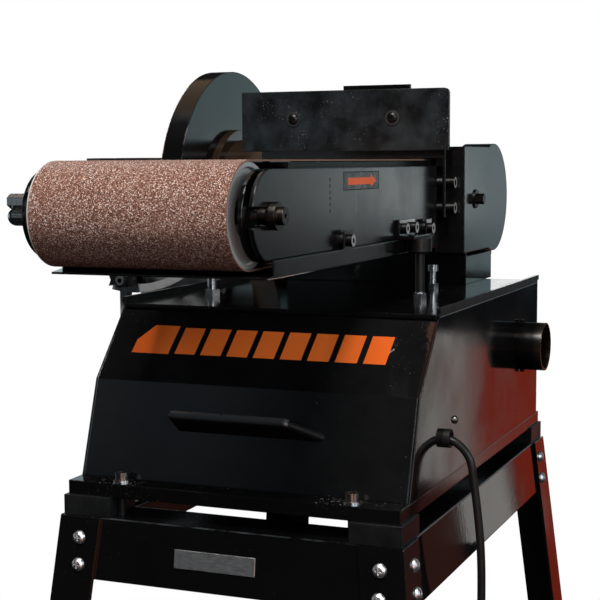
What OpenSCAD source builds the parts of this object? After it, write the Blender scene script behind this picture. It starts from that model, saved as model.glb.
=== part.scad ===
// Belt and disc sander on a folded steel stand.
// X runs to the right, Y to the rear and Z up, with the floor at Z = 0.
// The origin lies on the floor, in the middle of the four foot bolts.

/* [Stand] */
// How far the stand's top reaches past the base at each side
stand_side = 4; // [3:0.5:20]
// How far the stand's top reaches past the base at the front and rear
stand_end = 6; // [4:0.5:30]
// Height of the stand's top above the floor
stand_h = 620; // [400:5:800]
// Lean of the legs to the sides, in degrees
splay_side = 5.7; // [2:0.1:9]
// Lean of the legs to the front and rear, in degrees
splay_front = 6.7; // [2:0.1:9]
// Width of each flange of a leg
leg_flange = 35; // [30:1:45]
// Sheet thickness of the legs
leg_sheet = 2.5; // [1.5:0.1:4]
// Height of the stand's rails
rail_h = 48; // [46:1:80]
// Width of a rail's top flange
rail_flange = 40; // [38:1:50]
// Sheet thickness of the rails
rail_sheet = 2; // [1.5:0.1:3]
// Side of a foot plate
foot_size = 62; // [56:1:80]
// Thickness of a foot plate
foot_sheet = 4; // [3:0.5:6]
// Height of a rubber foot pad
foot_pad_h = 6; // [4:0.5:12]
// Hole for a floor bolt
foot_hole_d = 9; // [7:0.5:11]

/* [Base] */
// Width of the base
base_w = 272; // [265:1:280]
// Depth of the base's flange
base_d = 427; // [420:1:436]
// Height of the spacer pads between stand and base
pad_h = 15.4; // [10:0.2:25]
// Side of a spacer pad
pad_w = 40; // [30:1:40]
// Height of the base's folded flange
flange_h = 10.7; // [8:0.1:16]
// Sheet thickness of the base
sheet = 2; // [1.5:0.1:2.5]
// Width of the flange strip in front of the front panel
front_strip = 20; // [18:0.5:24]
// Height of the knee in the front panel above the flange
knee_h = 73.6; // [60:0.1:85]
// How far the knee lies behind the front panel's foot
knee_back = 24.3; // [15:0.1:30]
// How far the front panel's top lies behind its knee
brow_back = 48; // [40:0.5:55]
// Height of the lid's top face above the flange
lid_up = 130; // [126:0.5:150]
// Height of the lid's rims
rim_h = 5; // [3:0.5:8]

/* [Dust port] */
// Outer diameter of the dust port
port_d = 44; // [36:0.5:50]
// Wall of the dust port
port_wall = 2; // [1.5:0.1:3]
// Length of the dust port outside the panel
port_len = 24.5; // [18:0.5:40]

/* [Belt arm] */
// Width of the sanding belt
belt_w = 150; // [140:1:152]
// Length of the sanding belt
belt_len = 1220; // [1150:1:1260]
// Thickness of the sanding belt
belt_t = 1.2; // [0.8:0.1:1.5]
// Diameter of both drums
drum_d = 71.4; // [66:0.2:72]
// Offset of the belt's middle from the machine's middle
arm_x = -19.7; // [-24:0.1:-16]
// Height of the drums' axes above the lid
axis_up = 80; // [78:0.5:84]
// Distance of the spindle in front of the base's rear edge
spindle_in = 7; // [4:0.5:14]
// Height of the arm's side plates
arm_plate_h = 62; // [56:1:64]
// Thickness of the arm's side plates
arm_sheet = 3; // [2:0.1:3.5]

/* [Work stop] */
// Height of the work stop's plate
stop_h = 56; // [40:1:70]
// Distance of the work stop in front of the spindle
stop_ahead = 116; // [108:1:120]
// Thickness of the work stop's plate
stop_t = 3; // [2:0.5:4]

/* [Disc] */
// Diameter of the sanding disc
disc_d = 250; // [220:1:254]
// Thickness of the sanding disc
disc_t = 10; // [8:0.5:12]
// Depth of the disc's guard
guard_depth = 21.3; // [18:0.1:24]
// Gap between the disc and the guard's rim
guard_gap = 2; // [1.5:0.1:3]

/* [Table] */
// Width of the disc table
table_w = 90; // [80:1:110]
// Length of the disc table
table_l = 276; // [250:1:290]
// Thickness of the disc table
table_t = 10.5; // [8:0.5:12]
// Height of the table's top above the spindle
table_up = 40; // [38:0.5:42]
// Largest tilt of the table, in degrees
table_tilt = 45; // [30:1:45]

/* [Cord] */
// Diameter of the mains lead
cord_d = 6.4; // [6:0.1:6.6]

/* [Hidden] */
$fn = 64;

// Colours
black = [0.05, 0.05, 0.06];
slate = [0.25, 0.29, 0.32];
zinc = [0.75, 0.76, 0.78];
steel = [0.55, 0.56, 0.58];
alloy = [0.78, 0.79, 0.80];
rubber = [0.09, 0.09, 0.09];
grit = [0.45, 0.26, 0.20];

// Clearances: between fixed pieces, between moving pieces, and on running shafts
fit = 0.3;
run_gap = 0.3;
shaft_gap = 0.03;
eps = 0.5;

// Stand: its top from the base, and bolt sizes and places
stand_w = base_w + 2 * stand_side;
stand_d = base_d + 2 * stand_end;
bolt_r = 3;
bolt_head_r = 5.3;
bolt_head_h = 3.4;
nut_r = 5.8;
nut_h = 5;
bolt_clear = 0.3;
recess_w = 1.1;
recess_depth = 1.2;
leg_bolt_in = 17.3;
leg_bolt_back = 20;
leg_bolt_down = [16.4, 37.3];
foot_z = foot_pad_h + foot_sheet;
leg_drop = stand_h - foot_z + 1;
foot_drop = stand_h - foot_z;
foot_x = stand_w / 2 + foot_drop * tan(splay_side);
foot_y = stand_d / 2 + foot_drop * tan(splay_front);
foot_hole_in = 36;
foot_lip = 2;
rail_out_x = leg_sheet / cos(splay_side);
rail_out_y = leg_sheet / cos(splay_front);
rail_in_x = rail_sheet / cos(splay_side);
rail_in_y = rail_sheet / cos(splay_front);

// Base: levels and front outline
pad_inset = 2;
flange_z = stand_h + pad_h + flange_h;
lid_z = flange_z + lid_up;
panel_z = lid_z - sheet;
foot_front_y = -base_d / 2 + front_strip;
knee_y = foot_front_y + knee_back;
brow_y = knee_y + brow_back;
rear_y = base_d / 2 - 8.5;
side_x = base_w / 2;
screw_x = 95;
screw_front_y = base_d / 2 - 10.5;
screw_rear_y = rear_y - 15;
// The front panel, measured along Y through its sheet
panel_cut = sheet * 1.3;

// Arm: levels
spindle_y = base_d / 2 - spindle_in;
axis_z = lid_z + axis_up;
belt_in_r = drum_d / 2 + run_gap;
belt_out_r = belt_in_r + belt_t;
axle_gap = (belt_len - 2 * PI * (belt_in_r + belt_t / 2)) / 2;
idler_y = spindle_y - axle_gap;
belt_x0 = arm_x - belt_w / 2;
belt_x1 = arm_x + belt_w / 2;
drum_in = 1;
plate_r_x = belt_x1 + 5.2;
plate_l_x = belt_x0 - 5;
cover_x = plate_r_x + arm_sheet + 4.5;
cover_out_x = cover_x + arm_sheet;
cover_rear_ahead = 123.5;
cover_rear_y = spindle_y - cover_rear_ahead;
arm_nose_r = arm_plate_h / 2;
slot_h = 13.4;
axle_d = 12;
tension_travel = 8;

// Drive: spindle, bearings and pulleys
spindle_d = 17;
bearing_od = 35;
bearing_w = 10;
boss_r = 24;
pivot_r = boss_r + shaft_gap;
pivot_end_r = 34;
upright_x = belt_x1 + 1.7;
upright_t = 3;
boss_end_x = cover_out_x + 1;
house_r = 58;
house_wall = 4;
house_x1 = plate_l_x - arm_sheet - 2;
house_x0 = house_x1 - 74;
house_flange_r = 69;
house_flange_t = 8;
guard_back_x = house_x0 - house_flange_t;
guard_sheet = 2;
guard_r = disc_d / 2 + guard_gap + guard_sheet;
guard_x0 = guard_back_x - guard_depth;
disc_x0 = guard_x0 - 2;
paper_t = 1;
paper_x0 = disc_x0 - paper_t;
pulley_r = 29;
vbelt_w = 13;
vbelt_t = 6;
vbelt_x = house_x1 - house_wall - 9;
motor_ahead = 86.5;
motor_y = spindle_y - motor_ahead;
motor_z = flange_z + 59;
motor_r = 52;
motor_x0 = -100;
motor_x1 = 40;
motor_shaft_d = 14;

// Pedestal and stops on the lid
pedestal_h = 26.2;
pedestal_x0 = -98;
pedestal_x1 = 84;
pedestal_ahead = 71.5;
pedestal_behind = 19.5;
pedestal_y0 = spindle_y - pedestal_ahead;
pedestal_y1 = spindle_y + pedestal_behind;
rest_z = axis_z - 29;
post_x = 86.5;
post_y = -16;

// Guards on the arm
tray_z = axis_z - 41;
tray_t = 1.5;
tray_front_y = idler_y - 18;
tray_rear_y = 75;
tray_cut_x = 11.7;
tray_cut_y = 32.5;
left_lip = 20;
lip_x = cover_out_x + 5;
lip_h = 12;
tab_y = [-158, 44];
tab_w = 16;
tab_z = axis_z - 23;
rest_screw_y = [-22, 3];
rest_screw_z = tab_z + 2.5;
cap_half_h = 48.5;
cap_back = 1.5;
cap_r = cap_half_h + 3.5;
cap_x = cover_x + 23;
cap_front_y = spindle_y - 102.5;
cap_bolt_y = spindle_y - 65;
cap_sheet = 1.5;

// Work stop
stop_y = spindle_y - stop_ahead;
stop_z = axis_z + belt_out_r + 8;
stop_x0 = arm_x - 105.3;
stop_x1 = arm_x + 99.7;
stop_corner = 5;
strap_w = 10;
strap_x = cover_out_x + 2;
strap_t = 3;
strap_screw_z = [axis_z + 16, axis_z - 7];
stop_screw_x = [arm_x - 52, arm_x + 46];
bar_z = stop_z + 30;
back_low_z = axis_z + belt_out_r + 2 * run_gap;
cowl_t = 2;
cowl_x0 = belt_x0 - 3;
cowl_x1 = belt_x1 + 0.7;
cowl_y1 = spindle_y + belt_out_r + 4 + cowl_t;
cowl_low_z = axis_z - 5;

// Table
table_x1 = paper_x0 - 2;
table_x0 = table_x1 - table_w;
table_z = axis_z + table_up;
table_ahead = 144.5;
table_y0 = spindle_y - table_ahead;
table_corner = 38;
pivot_x = table_x1 - 13;
pivot_z = table_z - 24;
pivot_d = 12;
lock_reach = 93.5;
lock_rest = 3.8;
lock_d = 8;
leg_y = table_y0;
leg_t = 6;
bracket_t = 8;
bracket_y = leg_y - run_gap - bracket_t;
knob_r = 7;
knob_t = 14;
mitre_w = 19;
mitre_depth = 4.5;

// Cord: its route from the gland to the floor, chosen by hand, all at the same Y
gland_y = -107.2;
gland_z = flange_z + 32.5;
gland_len = 5.2;
cord_route = [
    [133, 0], [135.8, -0.15], [138.6, -0.65], [144, -2.5], [148.7, -5.6], [152.7, -9.6], [155.3, -13.7],
    [156.8, -17.4], [158, -22.5], [159, -30.5], [160.5, -40.5], [161.9, -51], [163.4, -64], [164.9, -79.5],
    [165.9, -102], [166, -128], [165.7, -158], [165.5, -192], [165.5, -236], [166, -285], [166, -335],
    [166, -390], [166, -445], [166, -495], [166, -538], [165, -573], [162, -601], [155, -625], [144, -645],
    [130, -660.8], [115, -671.4], [101, -675.3], [90, -675.3], [80, -675.3]
];
cord_route_top = 678.6;
cord_steps = 2;
cord_sides = 10;
coil_turns = 5;
coil_pitch = cord_d + 0.7;
coil_mean_r = 36;
coil_outer_r = coil_mean_r + coil_turns * coil_pitch / 4;
coil_inner_r = coil_mean_r - coil_turns * coil_pitch / 4;
coil_rings = 24;
coil_sides = 6;
coil_lead = 20;
coil_tail = 45;
coil_x = 60;
coil_y = gland_y + coil_outer_r;
coil_z = 3.3;
plug_z = 12;
plug_x = coil_x - coil_tail;

// Shapes that repeat

// A block between two corners
module block(low, high) {
    translate(low) cube(high - low);
}

// A flat outline in Y and Z, pulled out along X
module yz_plate(x0, x1) {
    translate([x0, 0, 0]) rotate([90, 0, 90]) linear_extrude(x1 - x0) children();
}

// A flat outline in X and Z, pulled out along Y
module xz_plate(y0, y1) {
    translate([0, y1, 0]) rotate([90, 0, 0]) linear_extrude(y1 - y0) children();
}

// A round bar along X
module bar_x(r, x0, x1, y, z) {
    translate([x0, y, z]) rotate([0, 90, 0]) cylinder(r = r, h = x1 - x0);
}

// A round bar along Y
module bar_y(r, y0, y1, x, z) {
    translate([x, y1, z]) rotate([90, 0, 0]) cylinder(r = r, h = y1 - y0);
}

// A ring along X
module ring_x(r_out, r_in, x0, x1, y, z) {
    difference() {
        bar_x(r_out, x0, x1, y, z);
        bar_x(r_in, x0 - eps, x1 + eps, y, z);
    }
}

// Copies of the right front corner at all four corners
module four_corners() {
    for (sx = [1, -1]) {
        for (sy = [1, -1]) {
            scale_corner(sx, sy) children();
        }
    }
}

// One corner: sx is 1 on the right, sy is 1 at the front
module scale_corner(sx, sy) {
    mirror([sx < 0 ? 1 : 0, 0, 0]) mirror([0, sy < 0 ? 1 : 0, 0]) children();
}

// A pan-head screw along +Z: its head ends at zero, its shank and nut lie above
module pan_screw(grip, r = bolt_r, head_r = bolt_head_r, head_h = bolt_head_h) {
    difference() {
        rotate_extrude() polygon([
            [0, -head_h], [head_r * 0.55, -head_h * 0.86], [head_r * 0.88, -head_h * 0.5], [head_r, 0], [0, 0]
        ]);
        for (turn = [0, 90]) {
            translate([0, 0, -head_h]) rotate([0, 0, turn])
                cube([head_r, recess_w, 2 * recess_depth], center = true);
        }
    }
    translate([0, 0, -eps]) cylinder(r = r, h = grip + nut_h + eps + 2);
    translate([0, 0, grip]) cylinder(r = nut_r, h = nut_h, $fn = 6);
}

// A socket cap screw along -Z: its head stands on zero, its shank goes down
module cap_screw(shank, r = 3, head_r = 5, head_h = 6, socket_r = 2.9) {
    difference() {
        cylinder(r = head_r, h = head_h);
        translate([0, 0, head_h - 3]) cylinder(r = socket_r, h = 4, $fn = 6);
    }
    translate([0, 0, -shank]) cylinder(r = r, h = shank + eps);
}

// Stand

// The front face of the right front leg: x across it, y down its slope, z into the stand
module leg_front_face() {
    translate([stand_w / 2, -stand_d / 2, stand_h]) rotate([-90 - splay_front, 0, 0]) children();
}

// The side face of the right front leg: x to the rear, y down its slope, z into the stand
module leg_side_face() {
    translate([stand_w / 2, -stand_d / 2, stand_h]) rotate([0, 0, 90]) rotate([-90 - splay_side, 0, 0])
        children();
}

// Places of the leg bolts on the two faces
module leg_bolt_places() {
    for (down = leg_bolt_down) {
        leg_front_face() translate([-leg_bolt_in, down, 0]) children();
        leg_side_face() translate([leg_bolt_back, down, 0]) children();
    }
}

module leg_bolt_holes() {
    leg_bolt_places() translate([0, 0, -4]) cylinder(r = bolt_r + bolt_clear, h = 16);
}

module leg() {
    front_len = leg_drop / cos(splay_front);
    front_lean = front_len * cos(splay_front) * tan(splay_side);
    side_len = leg_drop / cos(splay_side);
    side_lean = side_len * cos(splay_side) * tan(splay_front);
    inset = leg_sheet / 2;
    difference() {
        union() {
            leg_front_face() linear_extrude(leg_sheet) polygon([
                [-leg_flange, 0], [-inset, 0],
                [front_lean - inset, front_len], [front_lean - leg_flange, front_len]
            ]);
            leg_side_face() linear_extrude(leg_sheet) polygon([
                [0, 0], [leg_flange, 0],
                [leg_flange - side_lean, side_len], [-side_lean, side_len]
            ]);
            block(
                [foot_x - foot_size, -foot_y - foot_lip, foot_pad_h],
                [foot_x + foot_lip, -foot_y + foot_size, foot_z]
            );
        }
        leg_bolt_holes();
        translate([foot_x - foot_hole_in, -foot_y + foot_hole_in, 0])
            cylinder(d = foot_hole_d, h = foot_z + 5);
    }
}

module leg_front_left() {
    color(black) scale_corner(-1, 1) leg();
}

module leg_front_right() {
    color(black) scale_corner(1, 1) leg();
}

module leg_rear_left() {
    color(black) scale_corner(-1, -1) leg();
}

module leg_rear_right() {
    color(black) scale_corner(1, -1) leg();
}

// Cross-section of a rail: its outer top corner is the origin, and it leans out by the angle
module rail_web(lean, thick) {
    polygon([
        [0, 0], [-rail_h * tan(lean), -rail_h], [thick - rail_h * tan(lean), -rail_h], [thick, 0]
    ]);
}

module end_rail(screw_back) {
    half = stand_w / 2 - rail_out_x - fit;
    top_half = half - rail_in_x;
    edge = -stand_d / 2 + rail_out_y;
    difference() {
        union() {
            translate([0, edge, stand_h]) yz_plate(-half, half) rail_web(splay_front, rail_in_y);
            block([-top_half, edge, stand_h - rail_sheet], [top_half, edge + rail_flange, stand_h]);
        }
        scale_corner(1, 1) leg_bolt_holes();
        scale_corner(-1, 1) leg_bolt_holes();
        base_screw_holes(screw_back);
    }
}

module end_rails() {
    color(black) {
        end_rail(screw_front_y);
        mirror([0, 1, 0]) end_rail(screw_rear_y);
    }
}

module side_rail() {
    edge = stand_w / 2 - rail_out_x;
    web_half = stand_d / 2 - rail_out_y - rail_in_y - fit;
    flange_half = stand_d / 2 - rail_out_y - rail_flange - fit;
    difference() {
        union() {
            translate([edge, 0, stand_h]) mirror([1, 0, 0]) xz_plate(-web_half, web_half)
                rail_web(splay_side, rail_in_x);
            block(
                [edge - rail_flange, -flange_half, stand_h - rail_sheet],
                [edge, flange_half, stand_h]
            );
        }
        scale_corner(1, 1) leg_bolt_holes();
        scale_corner(1, -1) leg_bolt_holes();
    }
}

module side_rails() {
    color(black) {
        side_rail();
        mirror([1, 0, 0]) side_rail();
    }
}

module foot_pads() {
    color(rubber) four_corners() difference() {
        block(
            [foot_x - foot_size, -foot_y - foot_lip, 0],
            [foot_x + foot_lip, -foot_y + foot_size, foot_pad_h]
        );
        translate([foot_x - foot_hole_in, -foot_y + foot_hole_in, -eps])
            cylinder(d = foot_hole_d, h = foot_pad_h + 2 * eps);
    }
}

module stand_bolts() {
    color(zinc) four_corners() leg_bolt_places() pan_screw(leg_sheet + rail_sheet);
}

module mount_pads() {
    pad_x = stand_w / 2 - pad_inset;
    pad_y = stand_d / 2 - pad_inset;
    color(rubber) four_corners()
        block([pad_x - pad_w, -pad_y, stand_h], [pad_x, pad_w - pad_y, stand_h + pad_h]);
}

// Base

module base_screw_holes(back) {
    for (x = [-screw_x, screw_x]) {
        translate([x, -back, stand_h - 10]) cylinder(r = bolt_r + bolt_clear, h = pad_h + flange_h + 20);
    }
}

module base_pan() {
    inner_x = side_x - sheet;
    inner_y = base_d / 2 - sheet;
    color(black) difference() {
        block([-side_x, -base_d / 2, flange_z - flange_h], [side_x, base_d / 2, flange_z]);
        block([-inner_x, -inner_y, flange_z - flange_h - eps], [inner_x, inner_y, flange_z - sheet]);
        base_screw_holes(screw_front_y);
        mirror([0, 1, 0]) base_screw_holes(screw_rear_y);
    }
}

// The outline of the base from the side
function side_outline() = [
    [foot_front_y, flange_z], [knee_y, flange_z + knee_h], [brow_y, panel_z],
    [rear_y, panel_z], [rear_y, flange_z]
];

module front_panel() {
    color(black) yz_plate(sheet - side_x, side_x - sheet) polygon([
        [foot_front_y, flange_z], [knee_y, flange_z + knee_h], [brow_y, panel_z],
        [brow_y + panel_cut, panel_z], [knee_y + panel_cut, flange_z + knee_h],
        [foot_front_y + panel_cut, flange_z]
    ]);
}

module side_panel_left() {
    color(black) difference() {
        yz_plate(-side_x, sheet - side_x) polygon(side_outline());
        for (z = switch_bolt_z) {
            bar_x(2.3, -side_x - eps, sheet - side_x + eps, switch_y, z);
        }
    }
}

module side_panel_right() {
    color(black) difference() {
        yz_plate(side_x - sheet, side_x) polygon(side_outline());
        bar_x(port_d / 2 + shaft_gap, side_x - 10, side_x + 10, port_y, port_z);
        bar_x(gland_neck_r + shaft_gap, side_x - 10, side_x + 10, gland_y, gland_z);
    }
}

vent_count = 6;
vent_pitch = 14;
vent_w = 90;
vent_h = 5;

module rear_panel() {
    color(black) difference() {
        block([sheet - side_x, rear_y - sheet, flange_z], [side_x - sheet, rear_y, panel_z]);
        for (i = [0 : vent_count - 1]) {
            vent_z = flange_z + 30 + i * vent_pitch;
            block([-vent_w / 2, rear_y - 10, vent_z], [vent_w / 2, rear_y + 10, vent_z + vent_h]);
        }
    }
}

// The slot in the lid that the drive belt comes through
lid_slot_y0 = spindle_y - 82.5;
lid_slot_y1 = spindle_y - 9.5;
lid_slot_half = 9;
front_rim = 3.6;
// The folded edge of the lid's side rims
hem_t = 1.2;
hem_h = 4.4;
rim_y = brow_y - (front_rim - sheet) * brow_back / (panel_z - flange_z - knee_h) - fit;

module top_lid() {
    color(black) difference() {
        union() {
            block([-side_x, brow_y - 2, panel_z], [side_x, rear_y, lid_z]);
            for (x = [-side_x, side_x - sheet]) {
                block([x, brow_y - 2, panel_z], [x + sheet, rear_y, lid_z + rim_h]);
            }
            for (s = [0, 1]) {
                mirror([s, 0, 0]) block(
                    [side_x - sheet / 2, brow_y - 2, lid_z + rim_h - hem_h],
                    [side_x + hem_t, rear_y, lid_z + rim_h]
                );
            }
            block([sheet - side_x, rim_y - sheet, lid_z - front_rim], [side_x - sheet, rim_y, lid_z]);
            block([sheet - side_x, rim_y - sheet / 2, panel_z], [side_x - sheet, brow_y, lid_z]);
        }
        block(
            [vbelt_x - lid_slot_half, lid_slot_y0, panel_z - 5],
            [vbelt_x + lid_slot_half, lid_slot_y1, lid_z + 5]
        );
    }
}

// The pressed hood on the front panel
visor_r = 4;
visor_out = 15;
visor_up = 52;
visor_half = 46;
visor_root_half = 61.5;
visor_x = -9;
visor_root_x = 7.5;
visor_root_down = 15;
visor_cut = 100;

module front_visor() {
    lean = atan(knee_back / knee_h);
    root_y = foot_front_y + visor_up * tan(lean);
    root_z = flange_z + visor_up - visor_root_down;
    color(black) difference() {
        hull() {
            for (s = [-1, 1]) {
                translate([visor_x + s * visor_half, root_y - visor_out, flange_z + visor_up])
                    sphere(r = visor_r, $fn = 24);
                translate([visor_root_x + s * visor_root_half, root_y + 3, root_z])
                    sphere(r = visor_r, $fn = 24);
            }
        }
        translate([visor_x, foot_front_y, flange_z]) rotate([-lean, 0, 0])
            translate([-visor_cut, 0, -visor_cut / 2]) cube([2 * visor_cut, visor_cut / 2, 2 * visor_cut]);
    }
}

washer_r = 6.5;
washer_h = 1.4;
panel_screw_y = -80;
panel_screw_z = [flange_z + 24.8, flange_z + 42.2];

module base_screws() {
    color(steel) {
        for (sy = [0, 1]) {
            mirror([0, sy, 0]) for (x = [-screw_x, screw_x]) {
                translate([x, sy == 0 ? -screw_front_y : -screw_rear_y, flange_z]) {
                    cylinder(r = washer_r, h = washer_h);
                    translate([0, 0, washer_h])
                        cap_screw(washer_h + flange_h + pad_h + rail_sheet + nut_h + 2);
                    translate([0, 0, -flange_h - pad_h - rail_sheet - nut_h])
                        cylinder(r = nut_r, h = nut_h, $fn = 6);
                }
            }
        }
        for (z = panel_screw_z) {
            translate([side_x, panel_screw_y, z]) rotate([0, 90, 0]) rotate_extrude()
                polygon([[0, 0], [3.4, 0], [3, 1.6], [1.6, 2.6], [0, 2.6]]);
        }
    }
}

port_y = 133.7;
port_z = flange_z + 74.8;
port_flange = 6;
port_nub_x = 2.6;

module dust_port() {
    color(black) difference() {
        union() {
            bar_x(port_d / 2, side_x - sheet - 3, side_x + port_len, port_y, port_z);
            bar_x(port_d / 2 + port_flange, side_x - sheet - 3, side_x - sheet, port_y, port_z);
            for (s = [-1, 1]) {
                translate([side_x + port_nub_x, port_y, port_z + s * (port_d / 2 + 0.7)])
                    cylinder(r = 2, h = 3, center = true);
            }
        }
        bar_x(port_d / 2 - port_wall, side_x - 20, side_x + port_len + 5, port_y, port_z);
    }
}

gland_r = 7.3;
gland_neck_r = 5;
gland_throat_r = 3.5;
gland_mouth_r = 5.6;
gland_seat = -3;

module cable_gland() {
    color(rubber) difference() {
        union() {
            bar_x(gland_r, side_x, side_x + gland_len, gland_y, gland_z);
            bar_x(gland_neck_r, side_x - sheet - 6, side_x + 1, gland_y, gland_z);
            bar_x(gland_r, side_x - sheet - 6, side_x - sheet, gland_y, gland_z);
        }
        bar_x(cord_d / 2 - 0.4, side_x - 20, side_x + 5, gland_y, gland_z);
        translate([side_x + gland_seat, gland_y, gland_z]) rotate([0, 90, 0])
            cylinder(r1 = gland_throat_r, r2 = gland_mouth_r, h = gland_len - gland_seat + eps);
    }
}

// Cord

// A point on a smooth curve through the list, between points i and i + 1
function spline_point(p, i, t) =
    let (
        a = p[max(i - 1, 0)],
        b = p[i],
        c = p[i + 1],
        d = p[min(i + 2, len(p) - 1)]
    )
    0.5 * (2 * b + (c - a) * t + (2 * a - 5 * b + 4 * c - d) * t * t + (3 * b - a - 3 * c + d) * t * t * t);

function spline(p, steps) = concat(
    [for (i = [0 : len(p) - 2]) for (k = [0 : steps - 1]) spline_point(p, i, k / steps)],
    [p[len(p) - 1]]
);

function unit(v) = v / norm(v);

// The direction of a path at its point i
function heading(path, i) = unit(path[min(i + 1, len(path) - 1)] - path[max(i - 1, 0)]);

// A tube along a path, as one closed solid: rings square to the path and two end caps
module tube(path, r, sides, up) {
    count = len(path);
    points = [
        for (i = [0 : count - 1])
            let (dir = heading(path, i), side = unit(cross(dir, up)), top = cross(side, dir))
            for (k = [0 : sides - 1])
                path[i] + r * (cos(360 * k / sides) * side + sin(360 * k / sides) * top)
    ];
    walls = [
        for (i = [0 : count - 2])
            for (k = [0 : sides - 1])
                let (a = i * sides + k, b = i * sides + (k + 1) % sides)
                for (tri = [[a, a + sides, b], [b, a + sides, b + sides]])
                    tri
    ];
    last = (count - 1) * sides;
    caps = [
        for (k = [1 : sides - 2])
            for (tri = [[0, k, k + 1], [last, last + k + 1, last + k]])
                tri
    ];
    polyhedron(points = points, faces = concat(walls, caps), convexity = 10);
}

cord_path = [for (q = spline(cord_route, cord_steps)) [q[0], gland_y, q[1] + cord_route_top]];

module power_cord() {
    color(rubber) tube(cord_path, cord_d / 2, cord_sides, [0, 1, 0]);
}

// Height and radius of the coil after a number of turns: in on the floor, then out on top
function coil_rise(t) =
    let (u = min(max((t - coil_turns / 2 + 0.25) / 0.5, 0), 1))
    coil_z + coil_pitch * u * u * (3 - 2 * u);
function coil_radius(t) =
    coil_inner_r + coil_pitch * abs(t - coil_turns / 2);
function coil_point(t) = [
    coil_x - coil_radius(t) * sin(360 * t),
    coil_y - coil_radius(t) * cos(360 * t),
    coil_rise(t)
];
coil_body = [for (i = [0 : coil_turns * coil_rings]) coil_point(i / coil_rings)];
coil_top_z = coil_z + coil_pitch;
coil_lead_in = [[coil_x + coil_lead, gland_y, coil_z], [coil_x + coil_lead / 2, gland_y, coil_z]];
coil_lead_out = [
    [coil_x - coil_tail * 0.3, gland_y, coil_top_z],
    [coil_x - coil_tail * 0.6, gland_y, (coil_top_z + plug_z) / 2],
    [coil_x - coil_tail * 0.85, gland_y, plug_z],
    [coil_x - coil_tail, gland_y, plug_z]
];
coil_path = concat(coil_lead_in, coil_body, coil_lead_out);

// Least gap between turns of the coil, measured on points at least a third of a turn apart
coil_gap = min([
    for (i = [0 : len(coil_path) - 1])
        for (j = [i + coil_rings / 3 : 1 : len(coil_path) - 1])
            norm(coil_path[i] - coil_path[j])
]) - cord_d;
echo(least_coil_gap = coil_gap);

module cord_coil() {
    color(rubber) tube(coil_path, cord_d / 2, coil_sides, [0, 0, 1]);
}

plug_len = 34;
plug_w = 32;
plug_relief = 22;
plug_pin_len = 17;

module mains_plug() {
    body_x = plug_x - plug_relief - plug_len;
    color(rubber) translate([plug_x, gland_y, plug_z]) rotate([0, -90, 0]) rotate_extrude()
        polygon([[0, 0], [cord_d / 2 + 1.2, 0], [cord_d / 2 + 3.8, plug_relief + 1], [0, plug_relief + 1]]);
    color(rubber) difference() {
        block(
            [body_x, gland_y - plug_w / 2, plug_z - 11],
            [body_x + plug_len, gland_y + plug_w / 2, plug_z + 11]
        );
        for (s = [-1, 1]) {
            translate([body_x + plug_len, gland_y + s * plug_w / 2, 0]) rotate([0, 0, 45])
                cube([14, 14, 60], center = true);
        }
    }
    color(zinc) {
        for (s = [-1, 1]) {
            translate([body_x, gland_y + s * 7, plug_z + 2]) rotate([s * 30, 0, 0])
                cube([2 * plug_pin_len, 1.6, 6.4], center = true);
        }
        translate([body_x, gland_y, plug_z - 6]) cube([2 * plug_pin_len, 1.6, 6.4], center = true);
    }
}

// Motor

motor_wall = 5;
rotor_r = 30;
motor_foot_w = 76;

module motor_body() {
    color(slate) difference() {
        union() {
            bar_x(motor_r, motor_x0, motor_x1, motor_y, motor_z);
            block(
                [motor_x0 + 30, motor_y - motor_foot_w / 2, flange_z],
                [motor_x1 - 30, motor_y + motor_foot_w / 2, motor_z - motor_r / 2]
            );
        }
        bar_x(rotor_r + 2, motor_x0 + motor_wall + 8, motor_x1 - motor_wall - 8, motor_y, motor_z);
        bar_x(motor_shaft_d / 2 + shaft_gap, motor_x0 - eps, motor_x1 + eps, motor_y, motor_z);
    }
}

module motor_rotor() {
    color(steel) {
        bar_x(motor_shaft_d / 2, vbelt_x - 9, motor_x1 + 4, motor_y, motor_z);
        bar_x(rotor_r, motor_x0 + motor_wall + 12, motor_x1 - motor_wall - 12, motor_y, motor_z);
    }
}

// A grooved pulley round X, with the belt's seat at its middle
module pulley(y, z, bore) {
    half = vbelt_w / 2 + 2;
    seat_r = pulley_r - vbelt_t;
    translate([vbelt_x, y, z]) rotate([0, 90, 0]) rotate_extrude() polygon([
        [bore, -half], [pulley_r, -half], [pulley_r, -half + 1.4],
        [seat_r, -vbelt_w / 2 + 1.6], [seat_r, vbelt_w / 2 - 1.6],
        [pulley_r, half - 1.4], [pulley_r, half], [bore, half]
    ]);
}

module motor_pulley() {
    color(steel) pulley(motor_y, motor_z, motor_shaft_d / 2 + shaft_gap);
}

// A round-ended outline about two centres in Y and Z
module belt_outline(r, y0, z0, y1, z1) {
    turn = atan2(z1 - z0, y1 - y0);
    reach = norm([y1 - y0, z1 - z0]);
    translate([y0, z0]) rotate(turn) {
        circle(r = r);
        translate([reach, 0]) circle(r = r);
        translate([0, -r]) square([reach, 2 * r]);
    }
}

module v_belt() {
    seat = pulley_r - vbelt_t + run_gap;
    half = vbelt_w / 2 - 2;
    color(rubber) yz_plate(vbelt_x - half, vbelt_x + half) difference() {
        belt_outline(seat + vbelt_t, motor_y, motor_z, spindle_y, axis_z);
        belt_outline(seat, motor_y, motor_z, spindle_y, axis_z);
    }
}

// Switch on the left side
switch_y = -22;
switch_z = flange_z + 60;
switch_w = 62;
switch_h = 78;
switch_depth = 26;
switch_wall = 2.5;
switch_bolt_z = [switch_z - 33, switch_z + 33];
button_r = 11;
button_step = 17;
button_out = 5;

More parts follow.
